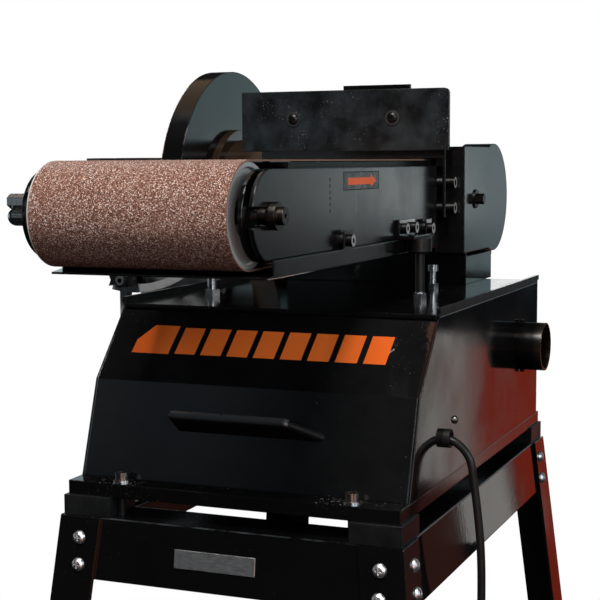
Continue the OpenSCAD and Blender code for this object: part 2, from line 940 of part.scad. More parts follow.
module switch_box() {
    x0 = -side_x - switch_depth;
    color(black) difference() {
        block(
            [x0, switch_y - switch_w / 2, switch_z - switch_h / 2],
            [-side_x, switch_y + switch_w / 2, switch_z + switch_h / 2]
        );
        block(
            [x0 + switch_wall, switch_y - switch_w / 2 + switch_wall, switch_z - 27],
            [-side_x + eps, switch_y + switch_w / 2 - switch_wall, switch_z + 27]
        );
        for (s = [-1, 1]) {
            bar_x(button_r + run_gap, x0 - eps, x0 + 10, switch_y, switch_z + s * button_step * 0.8);
        }
        for (z = switch_bolt_z) {
            bar_x(2.3, x0 - eps, -side_x + eps, switch_y, z);
        }
    }
}

// A push button with a collar that keeps it in the box
module button(z) {
    x0 = -side_x - switch_depth;
    bar_x(button_r, x0 - button_out, x0 + 8, switch_y, z);
    bar_x(button_r + 1.5, x0 + switch_wall + run_gap, x0 + 8, switch_y, z);
}

module start_button() {
    color([0.1, 0.5, 0.2]) button(switch_z + button_step * 0.8);
}

module stop_button() {
    color([0.7, 0.08, 0.06]) button(switch_z - button_step * 0.8);
}

// Drive

pedestal_sheet = 3;
upright_half = 28;

module pedestal() {
    color(black) difference() {
        union() {
            block([pedestal_x0, pedestal_y0, lid_z], [pedestal_x1, pedestal_y1, lid_z + pedestal_h]);
            block([pedestal_x0, pedestal_y0, lid_z], [upright_x, pedestal_y0 + pedestal_sheet, tray_z - 1]);
            block(
                [upright_x - 1, pedestal_y0, lid_z],
                [pedestal_x1, pedestal_y0 + pedestal_sheet, axis_z - cap_half_h - 3]
            );
            yz_plate(upright_x, upright_x + upright_t) union() {
                translate([spindle_y, axis_z]) circle(r = upright_half);
                translate([spindle_y - upright_half, lid_z + pedestal_h - 1])
                    square([2 * upright_half, axis_z - lid_z - pedestal_h + 1]);
            }
            bar_x(boss_r, upright_x, boss_end_x, spindle_y, axis_z);
        }
        block(
            [pedestal_x0 + pedestal_sheet, pedestal_y0 + pedestal_sheet, lid_z - eps],
            [pedestal_x1 - pedestal_sheet, pedestal_y1 - pedestal_sheet, lid_z + pedestal_h - pedestal_sheet]
        );
        bar_x(bearing_od / 2, upright_x - eps, boss_end_x + eps, spindle_y, axis_z);
    }
}

leg_top_half = 42;
leg_rear_down = 30;
leg_front_down = 10;

// The leg of the drive housing, from the lid up to the round part
module housing_leg(grow) {
    polygon([
        [lid_slot_y0 - 3 - grow, lid_z], [lid_slot_y1 + grow, lid_z],
        [spindle_y + leg_top_half + grow, axis_z - leg_rear_down],
        [spindle_y - leg_top_half - grow, axis_z - leg_front_down]
    ]);
}

module drive_housing() {
    leg_half = lid_slot_half + 1;
    color(black) difference() {
        union() {
            bar_x(house_r, house_x0, house_x1, spindle_y, axis_z);
            bar_x(house_flange_r, house_x0 - house_flange_t, house_x0, spindle_y, axis_z);
            bar_x(boss_r, house_x1 - 1, plate_l_x + 1.5, spindle_y, axis_z);
            yz_plate(vbelt_x - leg_half - 3, vbelt_x + leg_half + 2) housing_leg(3);
        }
        bar_x(house_r - house_wall, house_x0 + house_wall, house_x1 - house_wall, spindle_y, axis_z);
        intersection() {
            yz_plate(vbelt_x - leg_half, vbelt_x + leg_half) housing_leg(0);
            block([guard_x0, 0, lid_z - 1], [0, 2 * spindle_y, axis_z]);
        }
        bar_x(bearing_od / 2, house_x0 - house_flange_t - eps, plate_l_x + 5, spindle_y, axis_z);
    }
}

// X of the left end of each spindle bearing
bearing_places = [house_x0 - 6, plate_l_x + 1.5 - bearing_w, upright_x + 1];

module spindle_bearings() {
    color(steel) for (x = bearing_places) {
        ring_x(bearing_od / 2 - shaft_gap, spindle_d / 2 + shaft_gap, x, x + bearing_w, spindle_y, axis_z);
    }
}

module spindle_shaft() {
    color(steel) bar_x(spindle_d / 2, disc_x0 + 4, boss_end_x - 1, spindle_y, axis_z);
}

module spindle_pulley() {
    color(steel) pulley(spindle_y, axis_z, spindle_d / 2 + shaft_gap);
}

cup_depth = 3;
cup_wall = 3.2;

// A drum with hollow ends and a bore
module drum(y, bore) {
    x0 = belt_x0 + drum_in;
    x1 = belt_x1 - drum_in;
    difference() {
        bar_x(drum_d / 2, x0, x1, y, axis_z);
        bar_x(drum_d / 2 - cup_wall, x0 - eps, x0 + cup_depth, y, axis_z);
        bar_x(drum_d / 2 - cup_wall, x1 - cup_depth, x1 + eps, y, axis_z);
        bar_x(bore, x0 - eps, x1 + eps, y, axis_z);
    }
}

module drive_drum() {
    color(alloy) drum(spindle_y, spindle_d / 2 + shaft_gap);
}

disc_hub_r = 26;

module sanding_disc() {
    color(alloy) difference() {
        union() {
            bar_x(disc_d / 2, disc_x0, disc_x0 + disc_t, spindle_y, axis_z);
            bar_x(disc_hub_r, disc_x0, guard_back_x - guard_sheet - 2, spindle_y, axis_z);
        }
        bar_x(spindle_d / 2 + shaft_gap, disc_x0 + 3.5, house_x0, spindle_y, axis_z);
    }
}

module disc_abrasive() {
    color(grit) bar_x(disc_d / 2, paper_x0, disc_x0, spindle_y, axis_z);
}

module disc_guard() {
    color(slate) difference() {
        bar_x(guard_r, guard_x0, guard_back_x, spindle_y, axis_z);
        bar_x(guard_r - guard_sheet, guard_x0 - eps, guard_back_x - guard_sheet, spindle_y, axis_z);
        bar_x(disc_hub_r + 4, guard_x0 - eps, guard_back_x + eps, spindle_y, axis_z);
    }
}

// Disc table

// A direction below the table's pivot: the angle counts from straight down, to the right
function below(r, angle) = [pivot_x + r * sin(angle), pivot_z - r * cos(angle)];

lock_angle = -lock_rest;
slot_r = lock_d / 2 + 0.6;
quadrant_in = 24;
quadrant_out = 12.5;
quadrant_over = 9;
bracket_bar_in = 4;
bracket_bar_half = 4.5;
bracket_foot_x = -side_x - 5;
bracket_foot_y0 = bracket_y - 40;
bracket_low_z = flange_z + 44;
// The web behind the table's leg
web_x0 = -232;
web_y = leg_y + 18;
web_t = 3;
web_top_z = lid_z + 7.5;

// Points on an arc about the table's pivot, and a ring sector drawn with them
function pivot_arc(r, from, to) = [for (k = [0 : 12]) below(r, from + (to - from) * k / 12)];

module pivot_sector(r_in, r_out, from, to) {
    polygon(concat(pivot_arc(r_out, from, to), pivot_arc(r_in, to, from)));
}

module table_bracket() {
    bracket_y1 = bracket_y + bracket_t;
    lock = below(lock_reach, lock_angle);
    bar_x0 = lock[0] - bracket_bar_in - bracket_bar_half;
    bar_x1 = lock[0] - bracket_bar_in + bracket_bar_half;
    color(black) difference() {
        union() {
            xz_plate(bracket_y, bracket_y1) union() {
                pivot_sector(
                    lock_reach - quadrant_in, lock_reach + quadrant_out,
                    lock_angle - quadrant_over, lock_angle + table_tilt + quadrant_over
                );
                polygon([
                    below(lock_reach - quadrant_in / 2, lock_angle - 6),
                    below(lock_reach - quadrant_in / 2, lock_angle + 18),
                    [pivot_x + 13, pivot_z], [pivot_x - 13, pivot_z]
                ]);
                polygon([
                    [bar_x0, bracket_low_z - 1], [bar_x1, bracket_low_z - 1],
                    [bar_x1, lock[1] + 1], [bar_x0, lock[1] + 1]
                ]);
            }
            block(
                [bar_x0, bracket_y - 2, bracket_low_z - 24],
                [bracket_foot_x + 1, bracket_y1, bracket_low_z]
            );
            block(
                [bracket_foot_x, bracket_foot_y0, bracket_low_z - 36],
                [-side_x, bracket_y1 + 26, bracket_low_z + 12]
            );
            xz_plate(web_y, web_y + web_t) polygon([
                [bracket_foot_x + 1, bracket_low_z - 30], [bracket_foot_x + 1, web_top_z],
                [web_x0, web_top_z], [web_x0, web_top_z - 26]
            ]);
            bar_y(15, bracket_y - 8, bracket_y1, pivot_x, pivot_z);
        }
        xz_plate(bracket_y - eps, bracket_y1 + eps) union() {
            pivot_sector(lock_reach - slot_r, lock_reach + slot_r, lock_angle, lock_angle + table_tilt);
            for (a = [lock_angle, lock_angle + table_tilt]) {
                translate(below(lock_reach, a)) circle(r = slot_r - 0.2);
            }
        }
        bar_y(pivot_d / 2, bracket_y - 20, bracket_y1 + eps, pivot_x, pivot_z);
    }
}

module table_shaft() {
    color(steel) bar_y(pivot_d / 2, bracket_y - 8, table_y0 + table_l - 12, pivot_x, pivot_z);
}

lug_w = 24;
lug_half = 9;
lug_front = 30;
lug_rear = 46;
lug_y = [table_y0 + lug_front, table_y0 + table_l - lug_rear];

module disc_table() {
    table_y1 = table_y0 + table_l;
    lug_gap = pivot_d / 2 + shaft_gap;
    color(black) difference() {
        union() {
            translate([0, 0, table_z - table_t]) linear_extrude(table_t) polygon([
                [table_x1, table_y0], [table_x1, table_y1],
                [table_x0 + table_corner, table_y1], [table_x0, table_y1 - table_corner],
                [table_x0, table_y0 + table_corner], [table_x0 + table_corner, table_y0]
            ]);
            for (y = lug_y) {
                block(
                    [pivot_x - lug_half, y, pivot_z],
                    [pivot_x + lug_half, y + lug_w, table_z - table_t + 1]
                );
                bar_y(lug_half, y, y + lug_w, pivot_x, pivot_z);
            }
        }
        for (y = lug_y) {
            bar_y(lug_gap, y - eps, y + lug_w + eps, pivot_x, pivot_z);
        }
        block(
            [table_x0 + table_w * 0.42, table_y0 - eps, table_z - mitre_depth],
            [table_x0 + table_w * 0.42 + mitre_w, table_y1 + eps, table_z + eps]
        );
    }
}

module table_leg() {
    top = table_z - table_t;
    lock = below(lock_reach, lock_angle);
    color(black) difference() {
        xz_plate(leg_y, leg_y + leg_t) union() {
            polygon([
                [lock[0] - 11, lock[1] - 2], [lock[0] + 11, lock[1] - 2],
                [pivot_x + 12, top], [pivot_x - 34, top]
            ]);
            translate(lock) circle(r = 13);
        }
        bar_y(pivot_d / 2 + shaft_gap, leg_y - eps, leg_y + leg_t + eps, pivot_x, pivot_z);
        bar_y(lock_d / 2 + shaft_gap, leg_y - eps, leg_y + leg_t + eps, lock[0], lock[1]);
    }
}

wing_reach = 13.8;
wing_tip = 5.7;
wing_neck = 3.8;
wing_notch = 2.2;
wing_back = 2;
knob_ring_r = 4.6;
knob_ring_h = 1.2;

module lock_knob() {
    lock = below(lock_reach, lock_angle);
    face_y = bracket_y - run_gap;
    front_y = face_y - knob_t;
    color(rubber) difference() {
        union() {
            bar_y(knob_r, front_y, face_y, lock[0], lock[1]);
            xz_plate(front_y + wing_back, face_y - wing_back) translate(lock) polygon([
                [-wing_reach, -wing_tip], [-knob_r / 2, -wing_neck], [knob_r / 2, -wing_neck],
                [wing_reach, -wing_tip], [wing_reach - wing_notch, 0], [wing_reach, wing_tip],
                [knob_r / 2, wing_neck], [-knob_r / 2, wing_neck], [-wing_reach, wing_tip],
                [wing_notch - wing_reach, 0]
            ]);
            bar_y(knob_ring_r, front_y - knob_ring_h, front_y + 1, lock[0], lock[1]);
            bar_y(lock_d / 2, face_y - 1, leg_y + leg_t + 9, lock[0], lock[1]);
            translate([lock[0], leg_y + leg_t + run_gap + 6.5, lock[1]]) rotate([90, 0, 0])
                cylinder(r = 7.2, h = 6.5, $fn = 6);
        }
        bar_y(knob_ring_r / 2, front_y - knob_ring_h - eps, front_y + 5, lock[0], lock[1]);
    }
}

// Belt arm

// The outline of an arm plate: a round nose with a slot for the axle, open to the front or closed
module nose_outline(rear, open) {
    difference() {
        union() {
            translate([idler_y, axis_z]) circle(r = arm_nose_r);
            translate([idler_y, axis_z - arm_nose_r]) square([rear - idler_y, arm_plate_h]);
        }
        translate([idler_y, axis_z]) circle(r = slot_h / 2);
        if (open) translate([idler_y - arm_nose_r - 5, axis_z - slot_h / 2]) square([arm_nose_r + 5, slot_h]);
        translate([idler_y, axis_z - slot_h / 2]) square([tension_travel, slot_h]);
        translate([idler_y + tension_travel, axis_z]) circle(r = slot_h / 2);
    }
}

module arm_plate(x0) {
    yz_plate(x0, x0 + arm_sheet) difference() {
        union() {
            nose_outline(spindle_y, false);
            translate([spindle_y, axis_z]) circle(r = pivot_end_r);
        }
        translate([spindle_y, axis_z]) circle(r = pivot_r);
    }
}

module arm_plate_left() {
    color(black) difference() {
        arm_plate(plate_l_x - arm_sheet);
        strap_screw_holes(plate_l_x - 20, plate_l_x + 20);
    }
}

module arm_plate_right() {
    color(black) difference() {
        arm_plate(plate_r_x);
        strap_screw_holes(plate_r_x - 20, plate_r_x + 20);
        side_screw_holes(plate_r_x - 20, plate_r_x + 20);
        bar_x(4.2, plate_r_x - 5, plate_r_x + 20, cap_bolt_y, axis_z);
    }
}

module strap_screw_holes(x0, x1) {
    for (z = strap_screw_z) {
        bar_x(bolt_r + bolt_clear, x0, x1, stop_y + stop_t + strap_w / 2, z);
    }
}

module side_screw_holes(x0, x1) {
    for (y = tab_y) {
        bar_x(2.5 + bolt_clear, x0, x1, y, tab_z);
    }
    for (y = rest_screw_y) {
        bar_x(2.5 + bolt_clear, x0, x1, y, rest_screw_z);
    }
}

module side_cover() {
    color(slate) difference() {
        yz_plate(cover_x, cover_out_x) nose_outline(cover_rear_y, true);
        side_screw_holes(cover_x - 5, cover_out_x + 5);
    }
}

platen_t = 3;
platen_lip = 20;

module platen() {
    y0 = idler_y + belt_out_r + tension_travel + 8;
    y1 = spindle_y - belt_out_r - 16;
    top = axis_z + belt_in_r - 0.6;
    color(steel) difference() {
        block([plate_l_x, y0, top - platen_lip], [plate_r_x, y1, top]);
        block(
            [plate_l_x + platen_t, y0 - eps, top - platen_lip - eps],
            [plate_r_x - platen_t, y1 + eps, top - platen_t]
        );
        strap_screw_holes(plate_l_x - 5, plate_r_x + 5);
    }
}

module lower_guard() {
    lip_y0 = tray_front_y + 10;
    cut_y = tray_front_y + tray_cut_y;
    color(black) difference() {
        union() {
            translate([0, 0, tray_z]) linear_extrude(tray_t) polygon([
                [plate_l_x, cut_y], [plate_l_x + tray_cut_x, tray_front_y], [lip_x, tray_front_y],
                [lip_x, tray_rear_y], [plate_l_x, tray_rear_y]
            ]);
            block([lip_x - tray_t, lip_y0, tray_z], [lip_x, tray_rear_y, tray_z + lip_h]);
            block([plate_l_x, cut_y, tray_z], [plate_l_x + tray_t, tray_rear_y, tray_z + left_lip]);
            for (y = tab_y) {
                block([lip_x - tray_t, y - tab_w / 2, tray_z], [lip_x, y + tab_w / 2, tab_z + 8]);
            }
        }
        side_screw_holes(lip_x - 10, lip_x + 10);
    }
}

module abrasive_belt() {
    color(grit) yz_plate(belt_x0, belt_x1) difference() {
        belt_outline(belt_out_r, idler_y, axis_z, spindle_y, axis_z);
        belt_outline(belt_in_r, idler_y, axis_z, spindle_y, axis_z);
    }
}

// The rear cover from the side, drawn in by a wall
module cap_outline(wall) {
    translate([spindle_y + cap_back, axis_z]) circle(r = cap_r - wall);
    translate([cap_front_y + wall, axis_z - cap_half_h + wall])
        square([spindle_y + cap_back - cap_front_y - wall, 2 * (cap_half_h - wall)]);
}

module rear_cover() {
    inner_x = plate_r_x + arm_sheet;
    color(slate) difference() {
        yz_plate(inner_x, cap_x) cap_outline(0);
        yz_plate(inner_x - eps, cap_x - cap_sheet) cap_outline(cap_sheet);
        bar_x(4.2, cap_x - 10, cap_x + 10, cap_bolt_y, axis_z);
    }
}

module work_stop() {
    color(black) difference() {
        xz_plate(stop_y, stop_y + stop_t) difference() {
            union() {
                translate([stop_x0, stop_z]) square([stop_x1 - stop_x0 - stop_corner, stop_h]);
                translate([stop_x0, stop_z]) square([stop_x1 - stop_x0, stop_h - stop_corner]);
                translate([stop_x1 - stop_corner, stop_z + stop_h - stop_corner]) circle(r = stop_corner);
            }
        }
        stop_screw_holes();
    }
}

module stop_screw_holes() {
    for (x = stop_screw_x) {
        bar_y(2.5 + bolt_clear, stop_y - 20, stop_y + 30, x, bar_z);
    }
}

module stop_bracket() {
    y0 = stop_y + stop_t;
    right_x = strap_x;
    left_x = plate_l_x - arm_sheet;
    low_z = strap_screw_z[1] - 9;
    bar_half = 12;
    color(black) difference() {
        union() {
            block([left_x - strap_t, y0, back_low_z], [right_x + strap_t, y0 + strap_t, bar_z + bar_half]);
            block([arm_x - 3, y0, bar_z], [arm_x + 62, y0 + strap_t, stop_z + stop_h + 4]);
            block([cowl_x0, y0, back_low_z], [cowl_x1, cowl_y1, back_low_z + cowl_t]);
            block([cowl_x0, cowl_y1 - cowl_t, cowl_low_z], [cowl_x1, cowl_y1, back_low_z + cowl_t]);
            block([right_x, y0, low_z], [right_x + strap_t, y0 + strap_w, bar_z + bar_half]);
            block([left_x - strap_t, y0, low_z], [left_x, y0 + strap_w, bar_z + bar_half]);
        }
        strap_screw_holes(left_x - 10, right_x + 10);
        stop_screw_holes();
    }
}

// A small cap screw along -X whose head's underside lies at x
module side_screw(x, length, y, z, r = 2.5, head_r = 4.6, head_h = 4.2) {
    translate([x, y, z]) rotate([0, 90, 0]) cap_screw(length, r, head_r, head_h, 2.2);
}

// A sleeve between two plates
module sleeve(x0, x1, y, z) {
    ring_x(6, 2.5 + bolt_clear, x0, x1, y, z);
}

module arm_screws() {
    plate_out = plate_r_x + arm_sheet;
    color(zinc) {
        for (y = tab_y) {
            side_screw(lip_x, lip_x - plate_r_x + 4, y, tab_z);
            sleeve(plate_out, cover_x, y, tab_z);
            sleeve(cover_out_x, lip_x - tray_t, y, tab_z);
        }
        for (y = rest_screw_y) {
            side_screw(rest_x + rest_t, rest_x + rest_t - plate_r_x + 4, y, rest_screw_z);
            sleeve(plate_out, cover_x, y, rest_screw_z);
        }
        for (z = strap_screw_z) {
            translate([strap_x + strap_t, stop_y + stop_t + strap_w / 2, z]) rotate([0, 90, 0])
                cap_screw(strap_x + strap_t - plate_r_x + platen_t + 2, head_h = 8);
            ring_x(4.9, bolt_r + bolt_clear, plate_out, strap_x, stop_y + stop_t + strap_w / 2, z);
            translate([plate_l_x - arm_sheet - strap_t, stop_y + stop_t + strap_w / 2, z]) rotate([0, -90, 0])
                cap_screw(arm_sheet + strap_t + platen_t + 2, head_h = 8);
        }
        for (x = stop_screw_x) {
            translate([x, stop_y, bar_z]) rotate([-90, 0, 0]) stop_screw();
        }
        bar_x(7, plate_out, cap_x - cap_sheet, cap_bolt_y, axis_z);
        bar_x(4, plate_r_x - 3, cap_x + 3, cap_bolt_y, axis_z);
        bar_x(8.7, cap_x, cap_x + 1.5, cap_bolt_y, axis_z);
        translate([cap_x + 1.4, cap_bolt_y, axis_z]) rotate([0, 90, 0]) cylinder(r = 5, h = 7, $fn = 6);
    }
}

// A pan screw through the work stop, with a washer under its head and a nut behind
module stop_screw() {
    washer = 1.2;
    translate([0, 0, -washer]) cylinder(r = 6.8, h = washer);
    translate([0, 0, -washer]) pan_screw(washer + stop_t + strap_t, 2.5, 5, 2.6);
}

rest_x = cover_out_x;
rest_t = 3;
rest_y0 = -32;
rest_y1 = 10;
rest_reach = 16;

module arm_rest_bracket() {
    color(black) difference() {
        union() {
            block([rest_x, rest_y0, tray_z + lip_h], [rest_x + rest_t, rest_y1, rest_screw_z + 7.5]);
            block([rest_x, rest_y0, tray_z + lip_h], [rest_x + rest_reach, rest_y1, tray_z + lip_h + rest_t]);
        }
        side_screw_holes(rest_x - 5, rest_x + 10);
    }
}

stop_bolt_x = 68;
stop_bolt_y = 82;
left_bolt_x = -94;
left_bolt_y = -42;
post_nut_r = 6;
post_nut_h = 5.5;
stop_nut_r = 5;
left_nut_r = 7.2;

module rest_posts() {
    post_top = tray_z + lip_h;
    color(black) translate([post_x, post_y, 0]) {
        translate([0, 0, lid_z]) cylinder(r = 4, h = post_top - lid_z - 8);
        translate([0, 0, post_top - 12]) rotate_extrude()
            polygon([[0, 0], [8.6, 0], [10, 1.6], [10, 12], [0, 12]]);
        translate([0, 0, lid_z]) cylinder(r = post_nut_r, h = post_nut_h, $fn = 6);
    }
    color(zinc) translate([stop_bolt_x, stop_bolt_y, lid_z]) {
        translate([0, 0, 16]) cap_screw(16);
        cylinder(r = stop_nut_r, h = nut_h, $fn = 6);
    }
    color(zinc) translate([left_bolt_x, left_bolt_y, lid_z]) {
        cylinder(r = 4, h = 30);
        cylinder(r = left_nut_r, h = post_nut_h, $fn = 6);
    }
}

// Idler

collar_r = 9.5;
tracking_t = 4;
tracking_half = 9;
axle_right_x = cover_out_x + 10;
axle_left_x = plate_l_x - arm_sheet - run_gap - tracking_t;
dome_end_x = plate_l_x - arm_sheet - 31;
dome_r = 6.5;
dome_down = 2.4;
nut_end_x = plate_l_x - arm_sheet - 29.5;
nut_up = 8.6;

module idler_axle() {
    color(steel) difference() {
        union() {
            bar_x(axle_d / 2, axle_left_x, axle_right_x, idler_y, axis_z);
            bar_x(collar_r, cover_out_x + run_gap, cover_out_x + 5.5, idler_y, axis_z);
        }
        bar_x(1.7, axle_right_x - 6, axle_right_x + eps, idler_y, axis_z);
    }
}

// The plate that the axle's left end sits in, with the tracking screw and its domed nut
module tracking_block() {
    x1 = axle_left_x + tracking_t;
    color(steel) difference() {
        union() {
            block(
                [axle_left_x, idler_y - tracking_half, axis_z - dome_down - dome_r - 1],
                [x1, idler_y + tracking_half, axis_z + nut_up + 5]
            );
            bar_x(dome_r, dome_end_x + dome_r, axle_left_x + 1, idler_y, axis_z - dome_down);
            translate([dome_end_x + dome_r, idler_y, axis_z - dome_down]) sphere(r = dome_r);
            translate([nut_end_x, idler_y, axis_z + nut_up]) rotate([0, 90, 0])
                cylinder(r = 5.6, h = axle_left_x - nut_end_x + 1, $fn = 6);
        }
        bar_x(axle_d / 2 + shaft_gap, axle_left_x - run_gap, x1 + eps, idler_y, axis_z);
    }
}

idler_bearing_od = 32;
idler_bearing_in = 20;

module idler_bearings() {
    x0 = belt_x0 + drum_in + idler_bearing_in;
    x1 = belt_x1 - drum_in - idler_bearing_in - bearing_w;
    color(steel) for (x = [x0, x1]) {
        ring_x(idler_bearing_od / 2 - shaft_gap, axle_d / 2 + shaft_gap, x, x + bearing_w, idler_y, axis_z);
    }
}

module idler_drum() {
    color(alloy) drum(idler_y, idler_bearing_od / 2);
}

leg_front_left();
leg_front_right();
leg_rear_left();
leg_rear_right();
end_rails();
side_rails();
foot_pads();
stand_bolts();
mount_pads();
base_pan();
front_panel();
side_panel_left();
side_panel_right();
rear_panel();
top_lid();
front_visor();
base_screws();
dust_port();
cable_gland();
power_cord();
cord_coil();
mains_plug();
motor_body();
motor_rotor();
motor_pulley();
switch_box();
start_button();
stop_button();
pedestal();
drive_housing();
spindle_bearings();
spindle_shaft();
spindle_pulley();
v_belt();
drive_drum();
sanding_disc();
disc_abrasive();
disc_guard();
table_bracket();
table_shaft();
disc_table();
table_leg();
lock_knob();
arm_plate_left();
arm_plate_right();
side_cover();
platen();
lower_guard();
abrasive_belt();
rear_cover();
work_stop();
stop_bracket();
arm_screws();
arm_rest_bracket();
rest_posts();
idler_axle();
tracking_block();
idler_bearings();
idler_drum();
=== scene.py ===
"""Looks of the belt and disc sander: camera, light, finishes, mains lead and small graphics."""
import math

import bmesh
import bpy
from mathutils import Matrix, Vector


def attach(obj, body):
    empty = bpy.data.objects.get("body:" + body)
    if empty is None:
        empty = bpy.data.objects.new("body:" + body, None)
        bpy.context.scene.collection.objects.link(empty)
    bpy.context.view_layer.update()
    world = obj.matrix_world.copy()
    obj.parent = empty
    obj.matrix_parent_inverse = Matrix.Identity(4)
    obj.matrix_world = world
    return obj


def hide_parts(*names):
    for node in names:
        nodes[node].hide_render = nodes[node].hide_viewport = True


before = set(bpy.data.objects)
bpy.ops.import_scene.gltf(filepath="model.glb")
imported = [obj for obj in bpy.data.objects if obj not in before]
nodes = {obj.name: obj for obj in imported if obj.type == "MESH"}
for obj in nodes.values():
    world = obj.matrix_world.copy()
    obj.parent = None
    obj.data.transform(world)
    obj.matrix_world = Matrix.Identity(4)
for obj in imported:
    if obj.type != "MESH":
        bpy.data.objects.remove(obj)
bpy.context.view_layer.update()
scene = bpy.context.scene
scene.view_settings.view_transform = "Standard"
scene.view_settings.look = "None"

# Places on the machine in metres, as in the part's source
STAND_Z = 0.620
FLANGE_Z = 0.6461
HOOD_LIP_Z = 0.6981
KNEE_Z = 0.7195
LID_Z = 0.7761
AXIS_Z = 0.8561
STOP_Z = 0.92
BAR_Z = 0.9313
SPINDLE_Y = 0.2065
IDLER_Y = -0.288518
KNOB_FRONT_Y = 0.0394
BELT_LEFT_X = -0.0947
STOP_SCREWS_X = (-0.0717, 0.0263)
PLUG_X = 0.015
HOOD_END_X = 0.041
REST_POST_X = 0.0755
COVER_FACE_X = 0.0759
REAR_COVER_X = 0.091
PORT_MOUTH_X = 0.152


# Camera and world

LENS_MM = 84.14
CAMERA_AT = (0.44157, -1.13591, 0.89176)
CAMERA_TURN = (1.47235833, 0.00538433, 0.39199281)
ROOM_COLOR = (0.75, 0.86, 1.0, 1)
ROOM_STRENGTH = 0.012


def make_camera():
    cam = bpy.data.cameras.new("camera")
    cam.lens = LENS_MM
    cam.sensor_width = 36.0
    cam.clip_start = 0.05
    cam.clip_end = 50
    obj = bpy.data.objects.new("camera", cam)
    obj.location = CAMERA_AT
    obj.rotation_euler = CAMERA_TURN
    scene.collection.objects.link(obj)
    scene.camera = obj


def make_world():
    """White to the camera and through clear things, a dim blue room to everything else."""
    world = bpy.data.worlds.new("studio")
    scene.world = world
    world.use_nodes = True
    tree = world.node_tree
    tree.nodes.clear()
    path = tree.nodes.new("ShaderNodeLightPath")
    seen = tree.nodes.new("ShaderNodeMath")
    seen.operation = "MAXIMUM"
    tree.links.new(path.outputs["Is Camera Ray"], seen.inputs[0])
    tree.links.new(path.outputs["Is Transmission Ray"], seen.inputs[1])
    dim = tree.nodes.new("ShaderNodeBackground")
    dim.inputs["Color"].default_value = ROOM_COLOR
    dim.inputs["Strength"].default_value = ROOM_STRENGTH
    white = tree.nodes.new("ShaderNodeBackground")
    white.inputs["Color"].default_value = (1, 1, 1, 1)
    white.inputs["Strength"].default_value = 1.0
    mix = tree.nodes.new("ShaderNodeMixShader")
    tree.links.new(seen.outputs[0], mix.inputs[0])
    tree.links.new(dim.outputs[0], mix.inputs[1])
    tree.links.new(white.outputs[0], mix.inputs[2])
    out = tree.nodes.new("ShaderNodeOutputWorld")
    tree.links.new(mix.outputs[0], out.inputs[0])


def area_light(name, place, target, size, watts, color):
    data = bpy.data.lights.new(name, "AREA")
    data.shape = "RECTANGLE"
    data.size, data.size_y = size
    data.energy = watts
    data.color = color
    obj = bpy.data.objects.new(name, data)
    obj.location = place
    aim = Vector(target) - Vector(place)
    obj.rotation_euler = aim.to_track_quat("-Z", "Y").to_euler()
    obj.visible_camera = False
    scene.collection.objects.link(obj)


# Shader helpers

FACE_LIMIT = 0.9  # least share of a normal along an axis for a face that looks that way


def put(tree, kind, inputs=None, **props):
    """A new node: props are its settings, inputs its values or the sockets that feed it."""
    n = tree.nodes.new(kind)
    for key, value in props.items():
        setattr(n, key, value)
    for key, value in (inputs or {}).items():
        if isinstance(value, bpy.types.NodeSocket):
            tree.links.new(value, n.inputs[key])
        else:
            n.inputs[key].default_value = value
    return n


def start(name, color, rough, metal=0.0, coat=0.0, spec=0.5):
    """A new finish with its node tree, its main shader and the coordinates of the shaded point."""
    m = bpy.data.materials.new(name)
    m.use_nodes = True
    m.diffuse_color = (*color, 1)
    tree = m.node_tree
    b = tree.nodes["Principled BSDF"]
    b.inputs["Base Color"].default_value = (*color, 1)
    b.inputs["Roughness"].default_value = rough
    b.inputs["Metallic"].default_value = metal
    b.inputs["Coat Weight"].default_value = coat
    b.inputs["Coat Roughness"].default_value = 0.12
    b.inputs["Specular IOR Level"].default_value = spec
    where = put(tree, "ShaderNodeTexCoord").outputs["Object"]
    return m, tree, b, where


def noise(tree, where, scale, detail, rough=0.6):
    n = put(tree, "ShaderNodeTexNoise", {
        "Vector": where, "Scale": scale, "Detail": detail, "Roughness": rough})
    return n.outputs["Fac"]


def span(tree, value, low, high, to_low, to_high):
    """The value, mapped from one range to another and kept inside it."""
    n = put(tree, "ShaderNodeMapRange", {
        "Value": value, "From Min": low, "From Max": high, "To Min": to_low, "To Max": to_high})
    return n.outputs["Result"]


def blend_color(tree, factor, a, b):
    """A mix of two colours, each a socket or a plain colour."""
    n = put(tree, "ShaderNodeMix", data_type="RGBA")
    tree.links.new(factor, n.inputs[0])
    for index, value in ((6, a), (7, b)):
        if isinstance(value, bpy.types.NodeSocket):
            tree.links.new(value, n.inputs[index])
        else:
            n.inputs[index].default_value = (*value, 1)
    return n.outputs[2]


def shaded(color, share):
    return tuple(c * share for c in color)


def bump(tree, b, height, strength, distance, edge=0.0006):
    """Relief from a height, on edges that are rounded by a small radius."""
    soft = put(tree, "ShaderNodeBevel", {"Radius": edge}, samples=4)
    n = put(tree, "ShaderNodeBump", {
        "Height": height, "Strength": strength, "Distance": distance, "Normal": soft.outputs[0]})
    tree.links.new(n.outputs["Normal"], b.inputs["Normal"])


def calc(tree, operation, a, b=0.0):
    return put(tree, "ShaderNodeMath", {0: a, 1: b}, operation=operation).outputs[0]


def split(tree, vector):
    part = put(tree, "ShaderNodeSeparateXYZ", {0: vector})
    return part.outputs["X"], part.outputs["Y"], part.outputs["Z"]


def tree_of(m):
    """The node tree of a finish and the three coordinates of the shaded point, in metres."""
    tree = m.node_tree
    return (tree, *split(tree, put(tree, "ShaderNodeTexCoord").outputs["Object"]))


def normal(tree, kind):
    return split(tree, put(tree, "ShaderNodeNewGeometry").outputs[kind])


# Masks: 1 where something holds and 0 elsewhere

def above(tree, value, limit):
    return calc(tree, "GREATER_THAN", value, limit)


def below(tree, value, limit):
    return calc(tree, "LESS_THAN", value, limit)


